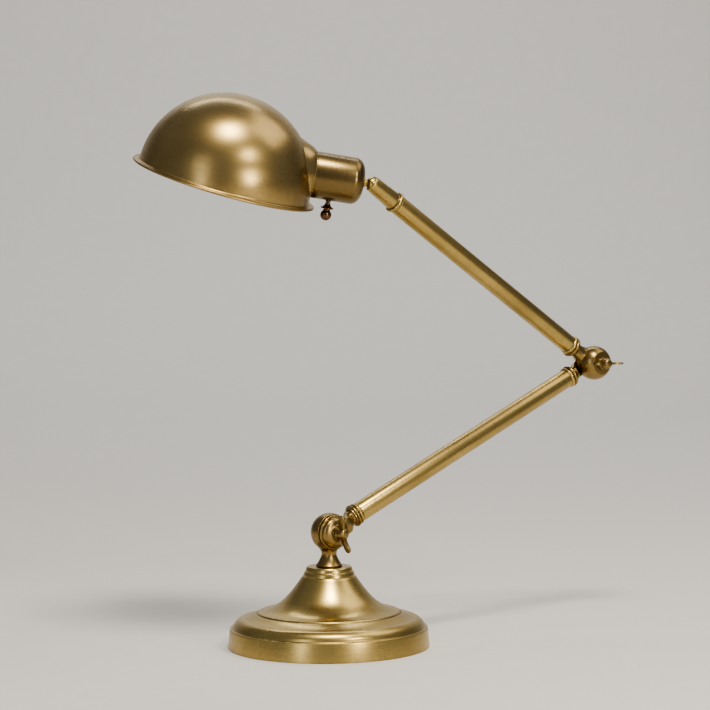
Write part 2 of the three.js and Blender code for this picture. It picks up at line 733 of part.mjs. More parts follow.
// The porcelain lampholder, open to the front.
function lampholder() {
  const outline = [
    [4, HOLDER.back],
    [9, HOLDER.back],
    [HOLDER.radius, HOLDER.back + 7],
    [HOLDER.radius, HOLDER.front],
    [HOLDER.bore, HOLDER.front],
    [HOLDER.bore, HOLDER.back + 9],
    [4, HOLDER.back + 9],
    [4, HOLDER.back],
  ];
  return turned(outline, MEDIUM, 'x');
}

function threadedShell() {
  return ring(13.6, HOLDER.bore - GAP, HOLDER.back + 12, HOLDER.front - 1, MEDIUM, 'x');
}

function centreContact() {
  return rod(3.6, HOLDER.back + 2, HOLDER.back + 11, SMALL, 'x');
}

function bulbCap() {
  const front = HOLDER.front + 2;
  const outline = [
    [0, HOLDER.back + 11.6],
    [5, HOLDER.back + 11.6],
    [9, HOLDER.back + 15],
    [13.1, HOLDER.back + 17],
    [13.1, front],
    [0, front],
  ];
  return turned(outline, MEDIUM, 'x');
}

// A thin glass globe, open where the cap closes it.
function bulbGlass() {
  const start = HOLDER.front + 2 + GAP;
  const globe = (inset, from) => {
    const radius = BULB.radius - inset;
    const neck = BULB.neck - inset;
    const meet = degrees(-50);
    const [across, along] = [radius * Math.cos(meet), radius * Math.sin(meet)];
    const bend = (across - neck) / Math.tan(-meet);
    const outline = new THREE.Path();
    outline.moveTo(0, from);
    outline.lineTo(neck, from);
    outline.quadraticCurveTo(neck, BULB.place + along - bend, across, BULB.place + along);
    outline.absarc(0, BULB.place, radius, meet, Math.PI / 2, false);
    return turned(outline, MEDIUM, 'x', 5);
  };
  return cut(globe(0, start), globe(0.8, start - 1));
}

function switchBushing() {
  const top = -CUP.radius + CUP.wall + 2.2;
  const bushing = ring(BUSHING.bore, BUSHING.radius, -CUP.radius - 1.6, top, SMALL);
  return bushing.translate(SWITCH_PLACE, 0, 0);
}

// A thin spindle, a small bell skirt and a pear-shaped grip, turned in one piece.
function switchKnob() {
  const edge = -CUP.radius;
  const outline = new THREE.Path();
  outline.moveTo(0, edge + 4.9);
  outline.lineTo(BUSHING.bore - GAP, edge + 4.9);
  outline.lineTo(BUSHING.bore - GAP, edge - 2.2);
  outline.lineTo(2.4, edge - 2.4);
  outline.quadraticCurveTo(2.6, edge - 5.6, 6.2, edge - 7);
  outline.lineTo(6.2, edge - 7.9);
  outline.lineTo(3.2, edge - 8.3);
  outline.quadraticCurveTo(2.9, edge - 9.6, 4.4, edge - 11.3);
  outline.absarc(0, edge - 14.4, 5.4, Math.asin(3.1 / 5.4), -Math.PI / 2, true);
  return turned(outline, SMALL).translate(SWITCH_PLACE, 0, 0);
}

function head() {
  const nut = hexNut(11, 3 + GAP, CUP.back + CUP.wall + GAP, CUP.back + CUP.wall + 4.6);
  return group(
    piece('ball_stud', ballStud(), BRASS),
    piece('ball_stud_nut', nut.rotateY(Math.PI / 2), STEEL),
    piece('socket_cup', socketCup(), BRASS),
    piece('neck_ferrule', neckFerrule(), BRASS),
    piece('shade', shade(), BRASS),
    piece('lampholder', lampholder(), PORCELAIN),
    piece('lampholder_thread', threadedShell(), BRASS),
    piece('lampholder_contact', centreContact(), BRASS),
    piece('bulb_cap', bulbCap(), STEEL),
    piece('bulb_glass', bulbGlass(), GLASS),
    piece('switch_bushing', switchBushing(), DARK_BRASS),
    piece('switch_knob', switchKnob(), DARK_BRASS),
  );
}

// ---- assembly ----

const lowerPivot = new THREE.Vector3(0, 0, KNUCKLE_HEIGHT);
const lowerTurn = degrees(LOWER_ARM.rise);
const upperTurn = degrees(180 - UPPER_ARM.rise);

function inPlane(length, turn) {
  return new THREE.Vector3(length * Math.cos(turn), 0, length * Math.sin(turn));
}

const elbow = lowerPivot.clone().add(inPlane(LOWER_ARM.length, lowerTurn));
const ballCentre = elbow.clone().add(inPlane(UPPER_ARM.length, upperTurn));

// The way the head points: yaw about +Z, rise above level, then roll about its own axis.
const headTurn = new THREE.Euler(degrees(HEAD.roll), degrees(-HEAD.rise), degrees(HEAD.yaw), 'ZYX');
const headWay = new THREE.Vector3(1, 0, 0).applyEuler(headTurn);

// The sleeve's slot faces the side that the head leans to.
const armWay = inPlane(1, upperTurn);
const slotWay = headWay.clone().addScaledVector(armWay, -headWay.dot(armWay)).normalize();
const acrossWay = slotWay.clone().cross(armWay);
const sleeveFrame = new THREE.Matrix4().makeBasis(armWay, acrossWay, slotWay);

const lowerKnuckle = knuckleFixing('lower_knuckle', LOWER_KNUCKLE, LOWER_WING_TURN);
lowerKnuckle.position.copy(lowerPivot);

const lowerArmGroup = lowerArm();
lowerArmGroup.position.copy(lowerPivot);
lowerArmGroup.rotation.y = -lowerTurn;

const elbowFixing = knuckleFixing('elbow', ELBOW_KNUCKLE, ELBOW_WING_TURN);
elbowFixing.position.copy(elbow);

const upperArmGroup = upperArm();
upperArmGroup.position.copy(elbow);
upperArmGroup.rotation.y = -upperTurn;

const sleeve = piece('swivel_sleeve', swivelSleeve(), BRASS);
sleeve.position.copy(ballCentre);
sleeve.quaternion.setFromRotationMatrix(sleeveFrame);

const headGroup = head();
headGroup.position.copy(ballCentre);
headGroup.rotation.copy(headTurn);

const lamp = group(
  base(),
  stemFixing(),
  piece('stem', stem(), BRASS),
  lowerKnuckle,
  lowerArmGroup,
  elbowFixing,
  upperArmGroup,
  sleeve,
  headGroup,
);

export default lamp;
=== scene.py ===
import json
import math

import bmesh
import bpy
from mathutils import Matrix, Vector


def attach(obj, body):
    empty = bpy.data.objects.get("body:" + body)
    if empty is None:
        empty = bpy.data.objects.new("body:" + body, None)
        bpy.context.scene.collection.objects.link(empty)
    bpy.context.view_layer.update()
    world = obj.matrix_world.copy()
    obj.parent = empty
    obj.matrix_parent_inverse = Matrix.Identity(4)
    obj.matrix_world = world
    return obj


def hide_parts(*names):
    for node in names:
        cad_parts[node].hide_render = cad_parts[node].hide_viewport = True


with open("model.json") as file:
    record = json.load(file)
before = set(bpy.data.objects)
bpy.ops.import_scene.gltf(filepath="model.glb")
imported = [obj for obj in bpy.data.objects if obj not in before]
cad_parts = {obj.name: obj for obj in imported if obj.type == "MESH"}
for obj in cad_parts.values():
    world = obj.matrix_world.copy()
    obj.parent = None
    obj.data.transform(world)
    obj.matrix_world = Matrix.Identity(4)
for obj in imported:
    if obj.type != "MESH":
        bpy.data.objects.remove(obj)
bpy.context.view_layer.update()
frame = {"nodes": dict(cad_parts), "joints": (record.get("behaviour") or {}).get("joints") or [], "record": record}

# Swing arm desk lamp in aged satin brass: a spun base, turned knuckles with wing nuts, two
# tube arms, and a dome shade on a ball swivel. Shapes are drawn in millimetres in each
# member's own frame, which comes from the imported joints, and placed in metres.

MM = 0.001

# ---- members' frames, from the joints ----

joints = {joint["name"]: joint for joint in frame["joints"]}
slot_of = {part["node"]: part["material_slot"] for part in frame["record"]["subparts"]}

BACK = Vector((0, 1, 0))


def joint_place(name):
    return Vector(joints[name]["pos_m"])


def joint_axis(name):
    return Vector(joints[name]["axis"]).normalized()


def member(origin, along, back):
    """A frame with X along the member and Y as near to back as it can be."""
    x = along.normalized()
    z = x.cross(back).normalized()
    y = z.cross(x)
    place = Matrix((x, y, z)).transposed().to_4x4()
    place.translation = origin
    return place


lower_pivot = joint_place("lower_arm_tilt")
elbow_pivot = joint_place("elbow_fold")
ball_centre = joint_place("shade_roll")
head_way = joint_axis("shade_roll")
head_up = -joint_axis("switch_turn")
arm_way = joint_axis("arm_end_swivel")

BASE = Matrix.Identity(4)
LOWER_KNUCKLE = Matrix.Translation(lower_pivot)
ELBOW = Matrix.Translation(elbow_pivot)
LOWER_ARM = member(lower_pivot, elbow_pivot - lower_pivot, BACK)
LOWER_ARM_END = member(elbow_pivot, lower_pivot - elbow_pivot, -BACK)
UPPER_ARM = member(elbow_pivot, ball_centre - elbow_pivot, BACK)
ARM_TIP = member(ball_centre, ball_centre - elbow_pivot, BACK)
SLEEVE = member(ball_centre, arm_way, head_way.cross(arm_way))
HEAD = member(ball_centre, head_way, head_up.cross(head_way))


def extent(node, place):
    """Lowest and highest corner of a CAD node in a member's frame, in millimetres."""
    inwards = place.inverted()
    points = [inwards @ vertex.co / MM for vertex in frame["nodes"][node].data.vertices]
    low = Vector([min(point[i] for point in points) for i in range(3)])
    high = Vector([max(point[i] for point in points) for i in range(3)])
    return low, high


# ---- sizes in millimetres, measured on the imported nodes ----

BASE_RADIUS = extent("base_shell", BASE)[1].x
BASE_TOP = extent("base_shell", BASE)[1].z
FELT_RADIUS = extent("base_felt", BASE)[1].x
FELT_TOP = extent("base_felt", BASE)[1].z
TUBE_RADIUS = extent("lower_arm_tube", LOWER_ARM)[1].y
LOWER_RADIUS = -extent("stem", LOWER_KNUCKLE)[0].x
ELBOW_RADIUS = -extent("upper_arm_knuckle", UPPER_ARM)[0].x
CUP_BACK, CUP_FRONT = (corner.x for corner in extent("socket_cup", HEAD))
CUP_RADIUS = extent("socket_cup", HEAD)[1].z
SLEEVE_BACK = extent("swivel_sleeve", SLEEVE)[0].x
SLEEVE_RADIUS = extent("swivel_sleeve", SLEEVE)[1].y
SWITCH_PLACE = sum(corner.x for corner in extent("switch_knob", HEAD)) / 2
GAP = 0.3

# ---- outlines: lists of (radius, place) ----


def bend(start, control, end, steps=10):
    """A quadratic curve, without its first point."""
    points = []
    for i in range(1, steps + 1):
        t = i / steps
        weights = ((1 - t) ** 2, 2 * t * (1 - t), t * t)
        points.append(tuple(
            sum(w * p[k] for w, p in zip(weights, (start, control, end))) for k in range(2)
        ))
    return points


def arc(centre, radius, start, end, steps=14):
    """Part of a circle between two angles in degrees, both ends included."""
    points = []
    for i in range(steps + 1):
        turn = math.radians(start + (end - start) * i / steps)
        points.append((centre[0] + radius * math.cos(turn), centre[1] + radius * math.sin(turn)))
    return points


SHARPEST_LEFT = math.radians(22)
CORNER_STEPS = 3


def soft(outline, radius):
    """The outline with its sharp corners rounded over."""
    rounded = [outline[0]]
    for before, corner, after in zip(outline, outline[1:], outline[2:]):
        here = Vector(corner)
        back, ahead = Vector(before) - here, Vector(after) - here
        turn = math.pi - back.angle(ahead, math.pi)
        if turn < SHARPEST_LEFT:
            rounded.append(corner)
            continue
        reach = min(radius * math.tan(turn / 2), 0.45 * back.length, 0.45 * ahead.length)
        start = here + back.normalized() * reach
        end = here + ahead.normalized() * reach
        rounded.append(tuple(start))
        rounded.extend(bend(tuple(start), corner, tuple(end), CORNER_STEPS))
    rounded.append(outline[-1])
    return rounded


# ---- meshes ----


def spot(axis, radius, place, turn):
    """A turned point. The axis is x, z, or front, which runs along -Y."""
    across, up = radius * math.cos(turn), radius * math.sin(turn)
    if axis == "z":
        return across, up, place
    if axis == "x":
        return place, across, up
    return across, -place, up


def distinct(corners):
    """The corners in order, each once."""
    kept = []
    for corner in corners:
        if corner not in kept:
            kept.append(corner)
    return kept


def skinned(shape, rings, closed):
    """Faces between neighbouring rings of vertices; a ring of one vertex is a pole."""
    pairs = list(zip(rings, rings[1:]))
    if closed:
        pairs.append((rings[-1], rings[0]))
    for first, second in pairs:
        count = max(len(first), len(second))
        for i in range(count):
            j = (i + 1) % count
            corners = distinct([
                first[i % len(first)],
                first[j % len(first)],
                second[j % len(second)],
                second[i % len(second)],
            ])
            if len(corners) > 2:
                shape.faces.new(corners)
    bmesh.ops.recalc_face_normals(shape, faces=shape.faces)
    return shape


def turned(outline, axis="z", sides=96):
    """An outline turned about an axis. It is closed on itself if it ends where it starts."""
    closed = math.dist(outline[0], outline[-1]) < 1e-6
    shape = bmesh.new()
    rings = []
    for radius, place in outline[:-1] if closed else outline:
        count = sides if radius > 1e-6 else 1
        rings.append([
            shape.verts.new(spot(axis, radius, place, 2 * math.pi * i / sides))
            for i in range(count)
        ])
    return skinned(shape, rings, closed)


def rod(radius, start, end, axis="z", sides=64):
    return turned([(0, start), (radius, start), (radius, end), (0, end)], axis, sides)


def block(low, high):
    shape = bmesh.new()
    middle = (Vector(low) + Vector(high)) / 2
    size = Vector(high) - Vector(low)
    place = Matrix.Translation(middle) @ Matrix.Diagonal((*size, 1))
    bmesh.ops.create_cube(shape, size=1, matrix=place)
    return shape


def moved(shape, offset):
    bmesh.ops.translate(shape, verts=shape.verts, vec=offset)
    return shape


def spun(shape, angle, axis):
    bmesh.ops.rotate(shape, verts=shape.verts, matrix=Matrix.Rotation(angle, 3, axis))
    return shape


def levelled(shape, place):
    """The shape turned as its place is, so that the place needs no rotation."""
    bmesh.ops.rotate(shape, verts=shape.verts, matrix=place.to_3x3())
    return shape


def loose_object(shape):
    mesh = bpy.data.meshes.new("working")
    shape.to_mesh(mesh)
    shape.free()
    holder = bpy.data.objects.new("working", mesh)
    bpy.context.scene.collection.objects.link(holder)
    return holder


def combined(first, second, operation):
    """The first shape joined with, or cut by, the second."""
    holders = [loose_object(first), loose_object(second)]
    modifier = holders[0].modifiers.new("combine", "BOOLEAN")
    modifier.object = holders[1]
    modifier.operation = operation
    modifier.solver = "EXACT"
    result = bmesh.new()
    result.from_object(holders[0], bpy.context.evaluated_depsgraph_get())
    for holder in holders:
        mesh = holder.data
        bpy.data.objects.remove(holder)
        bpy.data.meshes.remove(mesh)
    return result


def joined(first, *others):
    for other in others:
        first = combined(first, other, "UNION")
    return first


def cut(first, *tools):
    for tool in tools:
        first = combined(first, tool, "DIFFERENCE")
    return first


# ---- materials ----


def shader(name):
    """A new material's node tree and its main shader."""
    material = bpy.data.materials.new(name)
    material.use_nodes = True
    return material, material.node_tree, material.node_tree.nodes["Principled BSDF"]


def node(tree, kind, inputs=None, **settings):
    """A new node. Inputs are constants, or another node's output to link."""
    made = tree.nodes.new(kind)
    for name, value in settings.items():
        setattr(made, name, value)
    for key, value in (inputs or {}).items():
        if isinstance(value, bpy.types.NodeSocket):
            tree.links.new(value, made.inputs[key])
        else:
            made.inputs[key].default_value = value
    return made


def noise(tree, vector, scale, detail=4.0, roughness=0.55, distortion=0.0):
    made = node(tree, "ShaderNodeTexNoise", {
        "Vector": vector, "Scale": scale, "Detail": detail,
        "Roughness": roughness, "Distortion": distortion,
    })
    return made.outputs["Fac"]


def between(tree, factor, low, high, new_low, new_high):
    """The factor moved from one range to another, held inside it."""
    made = node(tree, "ShaderNodeMapRange", {
        "Value": factor, "From Min": low, "From Max": high,
        "To Min": new_low, "To Max": new_high,
    })
    return made.outputs["Result"]


def blended(tree, factor, first, second):
    """Two colours, or outputs that give colours, mixed by a factor."""
    made = node(tree, "ShaderNodeMix", data_type="RGBA")
    for key, value in ((0, factor), (6, first), (7, second)):
        if isinstance(value, bpy.types.NodeSocket):
            tree.links.new(value, made.inputs[key])
        elif key == 0:
            made.inputs[key].default_value = value
        else:
            made.inputs[key].default_value = (*value, 1)
    return made.outputs[2]


def local_point(tree):
    return node(tree, "ShaderNodeTexCoord").outputs["Object"]


def turning_marks(tree, point, axis, fineness):
    """Fine rings round an axis, as spinning and turning leave them."""
    parts = node(tree, "ShaderNodeSeparateXYZ", {"Vector": point}).outputs
    others = [letter for letter in "XYZ" if letter != axis]
    across = node(tree, "ShaderNodeCombineXYZ", {
        "X": parts[others[0]], "Y": parts[others[1]],
    }).outputs["Vector"]
    radius = node(tree, "ShaderNodeVectorMath", {0: across}, operation="LENGTH").outputs["Value"]
    wander = noise(tree, point, 14, 2)
    drift = node(tree, "ShaderNodeMath", {0: wander, 1: 0.001}, operation="MULTIPLY").outputs[0]
    rings = node(tree, "ShaderNodeCombineXYZ", {
        "X": parts[axis], "Y": radius, "Z": drift,
    }).outputs["Vector"]
    return noise(tree, rings, fineness, 5, 0.7)


CLOUD_SCALE = 14
FRECKLE_SCALE = 260
FINE_MARKS = 2600
BROAD_MARKS = 420
# How far the crease darkening reaches and how much of it is mixed in; it is partly patina, partly painted shade.
CREASE_SHADE_REACH = 0.003
CREASE_SHADE_SHARE = 0.6


def brass(name, axis, tint, patina, roughness, patina_share=0.5, lean=None):
    """Aged satin brass: warm metal and brown patina in soft clouds. It is darker in creases, recesses and between
    parts, which is partly patina and partly painted shade.

    A lean is the rotation from the turning axes to the object's own axes.
    """
    material, tree, main = shader(name)
    point = local_point(tree)
    if lean:
        point = node(tree, "ShaderNodeMapping", {
            "Vector": point, "Rotation": lean.inverted().to_euler(),
        }).outputs["Vector"]
    clouds = noise(tree, point, CLOUD_SCALE, 5, 0.6, 0.3)
    freckles = noise(tree, point, FRECKLE_SCALE, 5, 0.6)
    marks = turning_marks(tree, point, axis, FINE_MARKS)
    broad_marks = turning_marks(tree, point, axis, BROAD_MARKS)
    # Ambient occlusion darkens creases, recesses and gaps between parts towards half the patina colour: partly
    # patina in hollows, partly painted shade.
    shadow = node(tree, "ShaderNodeAmbientOcclusion", {"Distance": CREASE_SHADE_REACH}, samples=6)
    crease_patina_and_shade = between(tree, shadow.outputs["AO"], 0.25, 0.85, CREASE_SHADE_SHARE, 0.0)

    amount = between(tree, clouds, 0.5 - 0.22 * patina_share, 0.74, 0.0, patina_share)
    metal = blended(tree, amount, tint, patina)
    speckled = blended(tree, between(tree, freckles, 0.52, 0.74, 0.0, 0.22), metal, patina)
    streaked = blended(tree, between(tree, broad_marks, 0.4, 0.7, 0.0, 0.1), speckled, patina)
    with_crease_patina_and_shade = blended(tree, crease_patina_and_shade, streaked, tuple(0.5 * part for part in patina))
    tree.links.new(with_crease_patina_and_shade, main.inputs["Base Color"])
    main.inputs["Metallic"].default_value = 1.0
    cloudy_roughness = between(tree, clouds, 0.3, 0.75, roughness - 0.03, roughness + 0.08)
    marked_roughness = node(tree, "ShaderNodeMath", {
        0: cloudy_roughness,
        1: between(tree, marks, 0.3, 0.7, -0.02, 0.03),
    }, operation="ADD").outputs[0]
    tree.links.new(marked_roughness, main.inputs["Roughness"])
    main.inputs["Anisotropic"].default_value = 0.3
    way = node(tree, "ShaderNodeTangent", direction_type="RADIAL", axis=axis)
    tree.links.new(way.outputs["Tangent"], main.inputs["Tangent"])

    bump = node(tree, "ShaderNodeBump", {
        "Strength": 0.06, "Distance": 0.0004, "Height": noise(tree, point, 60, 3),
    })
    tree.links.new(bump.outputs["Normal"], main.inputs["Normal"])
    return material


def plain(name, colour, roughness, grain, variation=0.25, depth=0.0001, metallic=0.0):
    """A moulded, cast or pressed surface with fine uneven colour, gloss and height."""
    material, tree, main = shader(name)
    point = local_point(tree)
    fine = noise(tree, point, grain, 6, 0.65)
    broad = noise(tree, point, grain / 12, 3)
    darker = tuple((1 - variation) * part for part in colour)
    lighter = tuple(min(1, (1 + variation) * part) for part in colour)
    mixed = blended(tree, between(tree, fine, 0.3, 0.7, 0, 1), darker, lighter)
    shaded = blended(tree, between(tree, broad, 0.4, 0.8, 0, 0.5), mixed, darker)
    tree.links.new(shaded, main.inputs["Base Color"])
    main.inputs["Metallic"].default_value = metallic
    gloss = between(tree, fine, 0.3, 0.7, max(0.02, roughness - 0.06), min(1, roughness + 0.08))
    tree.links.new(gloss, main.inputs["Roughness"])
    bump = node(tree, "ShaderNodeBump", {"Strength": 0.4, "Distance": depth, "Height": fine})
    tree.links.new(bump.outputs["Normal"], main.inputs["Normal"])
    return material


def felt(name, colour):
    material = plain(name, colour, 0.95, 1400, 0.5, 0.0006)
    main = material.node_tree.nodes["Principled BSDF"]
    main.inputs["Sheen Weight"].default_value = 0.5
    main.inputs["Sheen Roughness"].default_value = 0.6
    return material


def porcelain(name, colour):
    material = plain(name, colour, 0.16, 260, 0.04, 0.00003)
    main = material.node_tree.nodes["Principled BSDF"]
    main.inputs["Coat Weight"].default_value = 0.7
    main.inputs["Coat Roughness"].default_value = 0.06
    return material


def frosted_glass(name, colour):
    """Etched glass with a fine grain."""
    material, tree, main = shader(name)
    point = local_point(tree)
    grain = noise(tree, point, 2600, 3)
    broad = noise(tree, point, 60, 3)
    mixed = blended(tree, broad, colour, tuple(0.93 * part for part in colour))
    tree.links.new(mixed, main.inputs["Base Color"])
    main.inputs["Transmission Weight"].default_value = 0.72
    main.inputs["IOR"].default_value = 1.5
    tree.links.new(between(tree, grain, 0.3, 0.7, 0.3, 0.44), main.inputs["Roughness"])
    bump = node(tree, "ShaderNodeBump", {"Strength": 0.2, "Distance": 0.0001, "Height": grain})
    tree.links.new(bump.outputs["Normal"], main.inputs["Normal"])
    return material


TINT = (0.5, 0.365, 0.135)
SHADE_TINT = (0.42, 0.3, 0.125)
KNUCKLE_TINT = (0.31, 0.215, 0.085)
# The cup's brass is tinted darker than the rest to paint in the dimmer reflection it shows: painted shade.
CUP_SHADED_TINT = (0.2, 0.138, 0.058)
PATINA = (0.17, 0.115, 0.04)

shell_brass = brass("brass_shell", "Z", TINT, PATINA, 0.27, 0.4)
cup_brass_shaded = brass("brass_cup_shaded", "X", CUP_SHADED_TINT, PATINA, 0.28, 0.5)
knuckle_brass = brass("brass_knuckle", "Y", KNUCKLE_TINT, PATINA, 0.26, 0.5)
arm_brass = brass("brass_arm", "X", TINT, PATINA, 0.26, 0.4)
dark_bronze = brass("dark_bronze", "Z", (0.2, 0.11, 0.055), (0.05, 0.026, 0.014), 0.18, 0.8)
zinc = plain("zinc_steel", (0.56, 0.56, 0.54), 0.34, 220, 0.15, 0.00005, 1.0)
iron = plain("iron", (0.05, 0.05, 0.055), 0.75, 160, 0.4, 0.0006, 0.6)
felt_green = felt("felt", (0.02, 0.035, 0.026))
black_plastic = plain("black_plastic", (0.016, 0.016, 0.016), 0.42, 500, 0.3, 0.00006)
fibre = plain("fibre", (0.045, 0.025, 0.016), 0.85, 700, 0.4, 0.0002)
white_porcelain = porcelain("porcelain", (0.78, 0.76, 0.7))
bulb_frost = frosted_glass("bulb_frost", (0.95, 0.94, 0.9))


SHARP_EDGE = math.radians(38)


def piece(name, shape, place, body, stands_for, material):
    """A finished piece: placed, smooth shaded, riding on its body and standing for CAD nodes."""
    mesh = bpy.data.meshes.new(name)
    bmesh.ops.dissolve_degenerate(shape, edges=shape.edges, dist=1e-4)
    shape.to_mesh(mesh)
    shape.free()
    mesh.transform(Matrix.Scale(MM, 4))
    mesh.shade_smooth()
    mesh.set_sharp_from_angle(angle=SHARP_EDGE)
    mesh.materials.append(material)
    made = bpy.data.objects.new(name, mesh)
    bpy.context.scene.collection.objects.link(made)
    made.matrix_world = place
    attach(made, body)
    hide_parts(*stands_for)
    return made


# ---- base ----

SHELL_WALL = 1.5
RIM_TOP = 17.5


def shell_outline():
    """The spun shell from the foot of its rim to the hole in its flat top."""
    r, top = BASE_RADIUS, BASE_TOP
    line = [(r, GAP), (r - 1.5, RIM_TOP - 0.3), (r - 1.6, RIM_TOP + 0.2)]
    line += bend(line[-1], (r - 1.8, RIM_TOP + 0.8), (r - 2.8, RIM_TOP + 0.8), 5)
    line += bend(line[-1], (r - 4.2, RIM_TOP + 0.7), (r - 4.3, RIM_TOP + 1.5), 5)
    line += bend(line[-1], (r - 5.6, 23.6), (r - 9.5, 26), 10)
    line += bend(line[-1], (r - 12.4, 27.7), (r - 15.2, 27.5), 8)
    line += bend(line[-1], (r - 20.5, 29), (r - 26, 31.9), 10)
    line += bend(line[-1], (r - 26.9, 32.1), (r - 27.2, 31.2), 5)
    line += bend(line[-1], (r - 27.6, 33.2), (r - 29.4, 33.5), 5)
    line += bend(line[-1], (r - 32, 33.4), (r - 34, 34), 5)
    line += bend(line[-1], (54.4, 35.6), (45.3, 42.4), 14)
    line += bend(line[-1], (37.4, 48.6), (25.6, 66), 20)
    line += bend(line[-1], (25, 66.9), (24.2, 66.8), 4)
    line += bend(line[-1], (24.2, 68.9), (23, 70.9), 6)
    line += bend(line[-1], (22.6, 71), (22.3, 71.2), 3)
    line += bend(line[-1], (22.2, 73.2), (21.4, top - 0.9), 6)
    line += [(20.6, top), (13, top - 0.1), (5.3, top - 0.1)]
    return line


def base_shell():
    outside = soft(shell_outline(), 0.5)
    inside = [(radius - SHELL_WALL, max(GAP, place - SHELL_WALL)) for radius, place in outside]
    inside[-1] = (outside[-1][0], inside[-1][1])
    shell = turned(outside + inside[::-1] + outside[:1], "z", 224)
    bush_low, bush_high = extent("cord_bush", BASE)
    hole = rod(5.7, bush_low.y + 2, bush_high.y + 2, "z", 48)
    spun(hole, -math.pi / 2, "X")
    return cut(shell, moved(hole, (0, 0, (bush_low.z + bush_high.z) / 2)))


def cord_bush():
    low, high = extent("cord_bush", BASE)
    flange = (high.z - low.z) / 2
    wall = BASE_RADIUS - SHELL_WALL - 2.5
    outline = soft([
        (3.8, low.y), (flange, low.y), (flange, wall), (5.4, wall),
        (5.4, BASE_RADIUS + GAP), (flange, BASE_RADIUS + GAP), (flange, high.y - 0.5),
        (flange - 1, high.y), (4.4, high.y), (3.8, high.y - 0.6), (3.8, low.y),
    ], 0.4)
    outline[-1] = outline[0]
    bush = spun(turned(outline, "z", 48), -math.pi / 2, "X")
    return moved(bush, (0, 0, (low.z + high.z) / 2))


def felt_pad():
    outline = soft([(0, 0), (FELT_RADIUS, 0), (FELT_RADIUS, FELT_TOP), (0, FELT_TOP)], 0.6)
    return turned(outline, "z", 160)


piece("base_shell_spun", base_shell(), BASE, "base", ["base_shell"], shell_brass)
piece("base_felt_pad", felt_pad(), BASE, "base", ["base_felt"], felt_green)
piece("cord_grommet", cord_bush(), BASE, "base", ["cord_bush"], black_plastic)

# ---- knuckles ----
#
# A knuckle is a ball split across its pin into a ball half and a thinner cap half. Each half is
# drawn from the ball's centre with the cap towards the front, -Y. The ball's centre stands
# forward of the plane that the arms lie in.

BALL_FACE = 5.6
CAP_FACE = BALL_FACE + 1.2
FLAT_SHARE = 0.74
CAP_TOP_SHARE = 0.83
CAP_RIM_SHARE = 0.9
NECK_RADIUS = 7.4
RING_PLACE = 31
RING_RADIUS = 11
SPIGOT_END = RING_PLACE + 18
SPIGOT_RADIUS = TUBE_RADIUS - 1.4
PIN_RADIUS = 2.7
TURNING_ROOM = 0.6
PAST_BALL = 9
WASHER_THICKNESS = 1.2


class Knuckle:
    """One joint's size and place: how far forward its ball stands, and which half is in front."""

    def __init__(self, radius, forward, ball_in_front):
        self.radius = radius
        self.forward = forward
        self.ball_in_front = ball_in_front
        flat, top = FLAT_SHARE * radius, CAP_TOP_SHARE * radius
        self.back = forward - (top if ball_in_front else flat)
        self.front = forward + (flat if ball_in_front else top)

    def placed(self, shape):
        """A shape drawn about the ball's centre, moved into the joint."""
        if self.ball_in_front:
            spun(shape, math.pi, "Z")
        return moved(shape, (0, -self.forward, 0))


LOWER = Knuckle(
    LOWER_RADIUS, FLAT_SHARE * LOWER_RADIUS - extent("stem", LOWER_KNUCKLE)[1].y, False,
)
UPPER = Knuckle(
    ELBOW_RADIUS, -extent("upper_arm_knuckle", UPPER_ARM)[0].y - FLAT_SHARE * ELBOW_RADIUS, True,
)


def ball_half(knuckle):
    """The larger part of the ball, flattened at its pole and cut at the seam."""
    radius = knuckle.radius
    flat = -FLAT_SHARE * radius
    outline = [(0, flat), (math.sqrt(radius**2 - flat**2), flat)]
    outline += arc(
        (0, 0), radius, math.degrees(math.asin(flat / radius)),
        math.degrees(math.asin(BALL_FACE / radius)), 36,
    )[1:]
    outline.append((0, BALL_FACE))
    return knuckle.placed(turned(soft(outline, 0.45), "front", 112))


def cap_half(knuckle):
    """The cap: a rounded rim band, a domed face and a low boss round the pin."""
    radius = knuckle.radius
    rim, top = CAP_RIM_SHARE * radius, CAP_TOP_SHARE * radius
    skirt = BALL_FACE + 0.45
    outline = [
        (0, CAP_FACE - 0.2), (0.81 * radius, CAP_FACE - 0.2), (0.81 * radius, skirt),
        (rim - 0.3, skirt),
    ]
    outline += arc((rim - 1.1, skirt + 1.4), 1.4, -55, 75, 10)
    outline += [(rim - 1.6, skirt + 2.6)]
    outline += bend(outline[-1], (0.8 * radius, top - 2.2), (0.5 * radius, top - 0.9), 16)
    outline += bend(outline[-1], (0.46 * radius, top - 0.8), (0.42 * radius, top), 4)
    outline += [(0, top)]
    return knuckle.placed(turned(soft(outline, 0.3), "front", 112))


def neck(start, root_radius=NECK_RADIUS):
    """The waisted neck, its large ring and the spigot inside the tube.

    A root wider than the neck narrows to it in a curve.
    """
    outline = [(0, start), (root_radius, start)]
    if root_radius > NECK_RADIUS:
        waist = RING_PLACE - 9
        middle = 0.5 * (start + waist)
        outline += bend(outline[-1], (NECK_RADIUS + 0.9, middle), (NECK_RADIUS, waist))
    outline += [(NECK_RADIUS - 0.2, RING_PLACE - 5.6)]
    outline += bend(
        outline[-1], (NECK_RADIUS + 0.2, RING_PLACE - 3.6),
        (RING_RADIUS - 1.9, RING_PLACE - 2.8), 10,
    )
    outline += [(RING_RADIUS - 1.8, RING_PLACE - 1.9)]
    outline += arc((RING_RADIUS - 1.75, RING_PLACE), 1.75, -82, 84, 14)
    outline += [
        (TUBE_RADIUS, RING_PLACE + 1.9), (SPIGOT_RADIUS, RING_PLACE + 1.9),
        (SPIGOT_RADIUS, SPIGOT_END), (0, SPIGOT_END),
    ]
    return turned(soft(outline, 0.25), "x", 80)


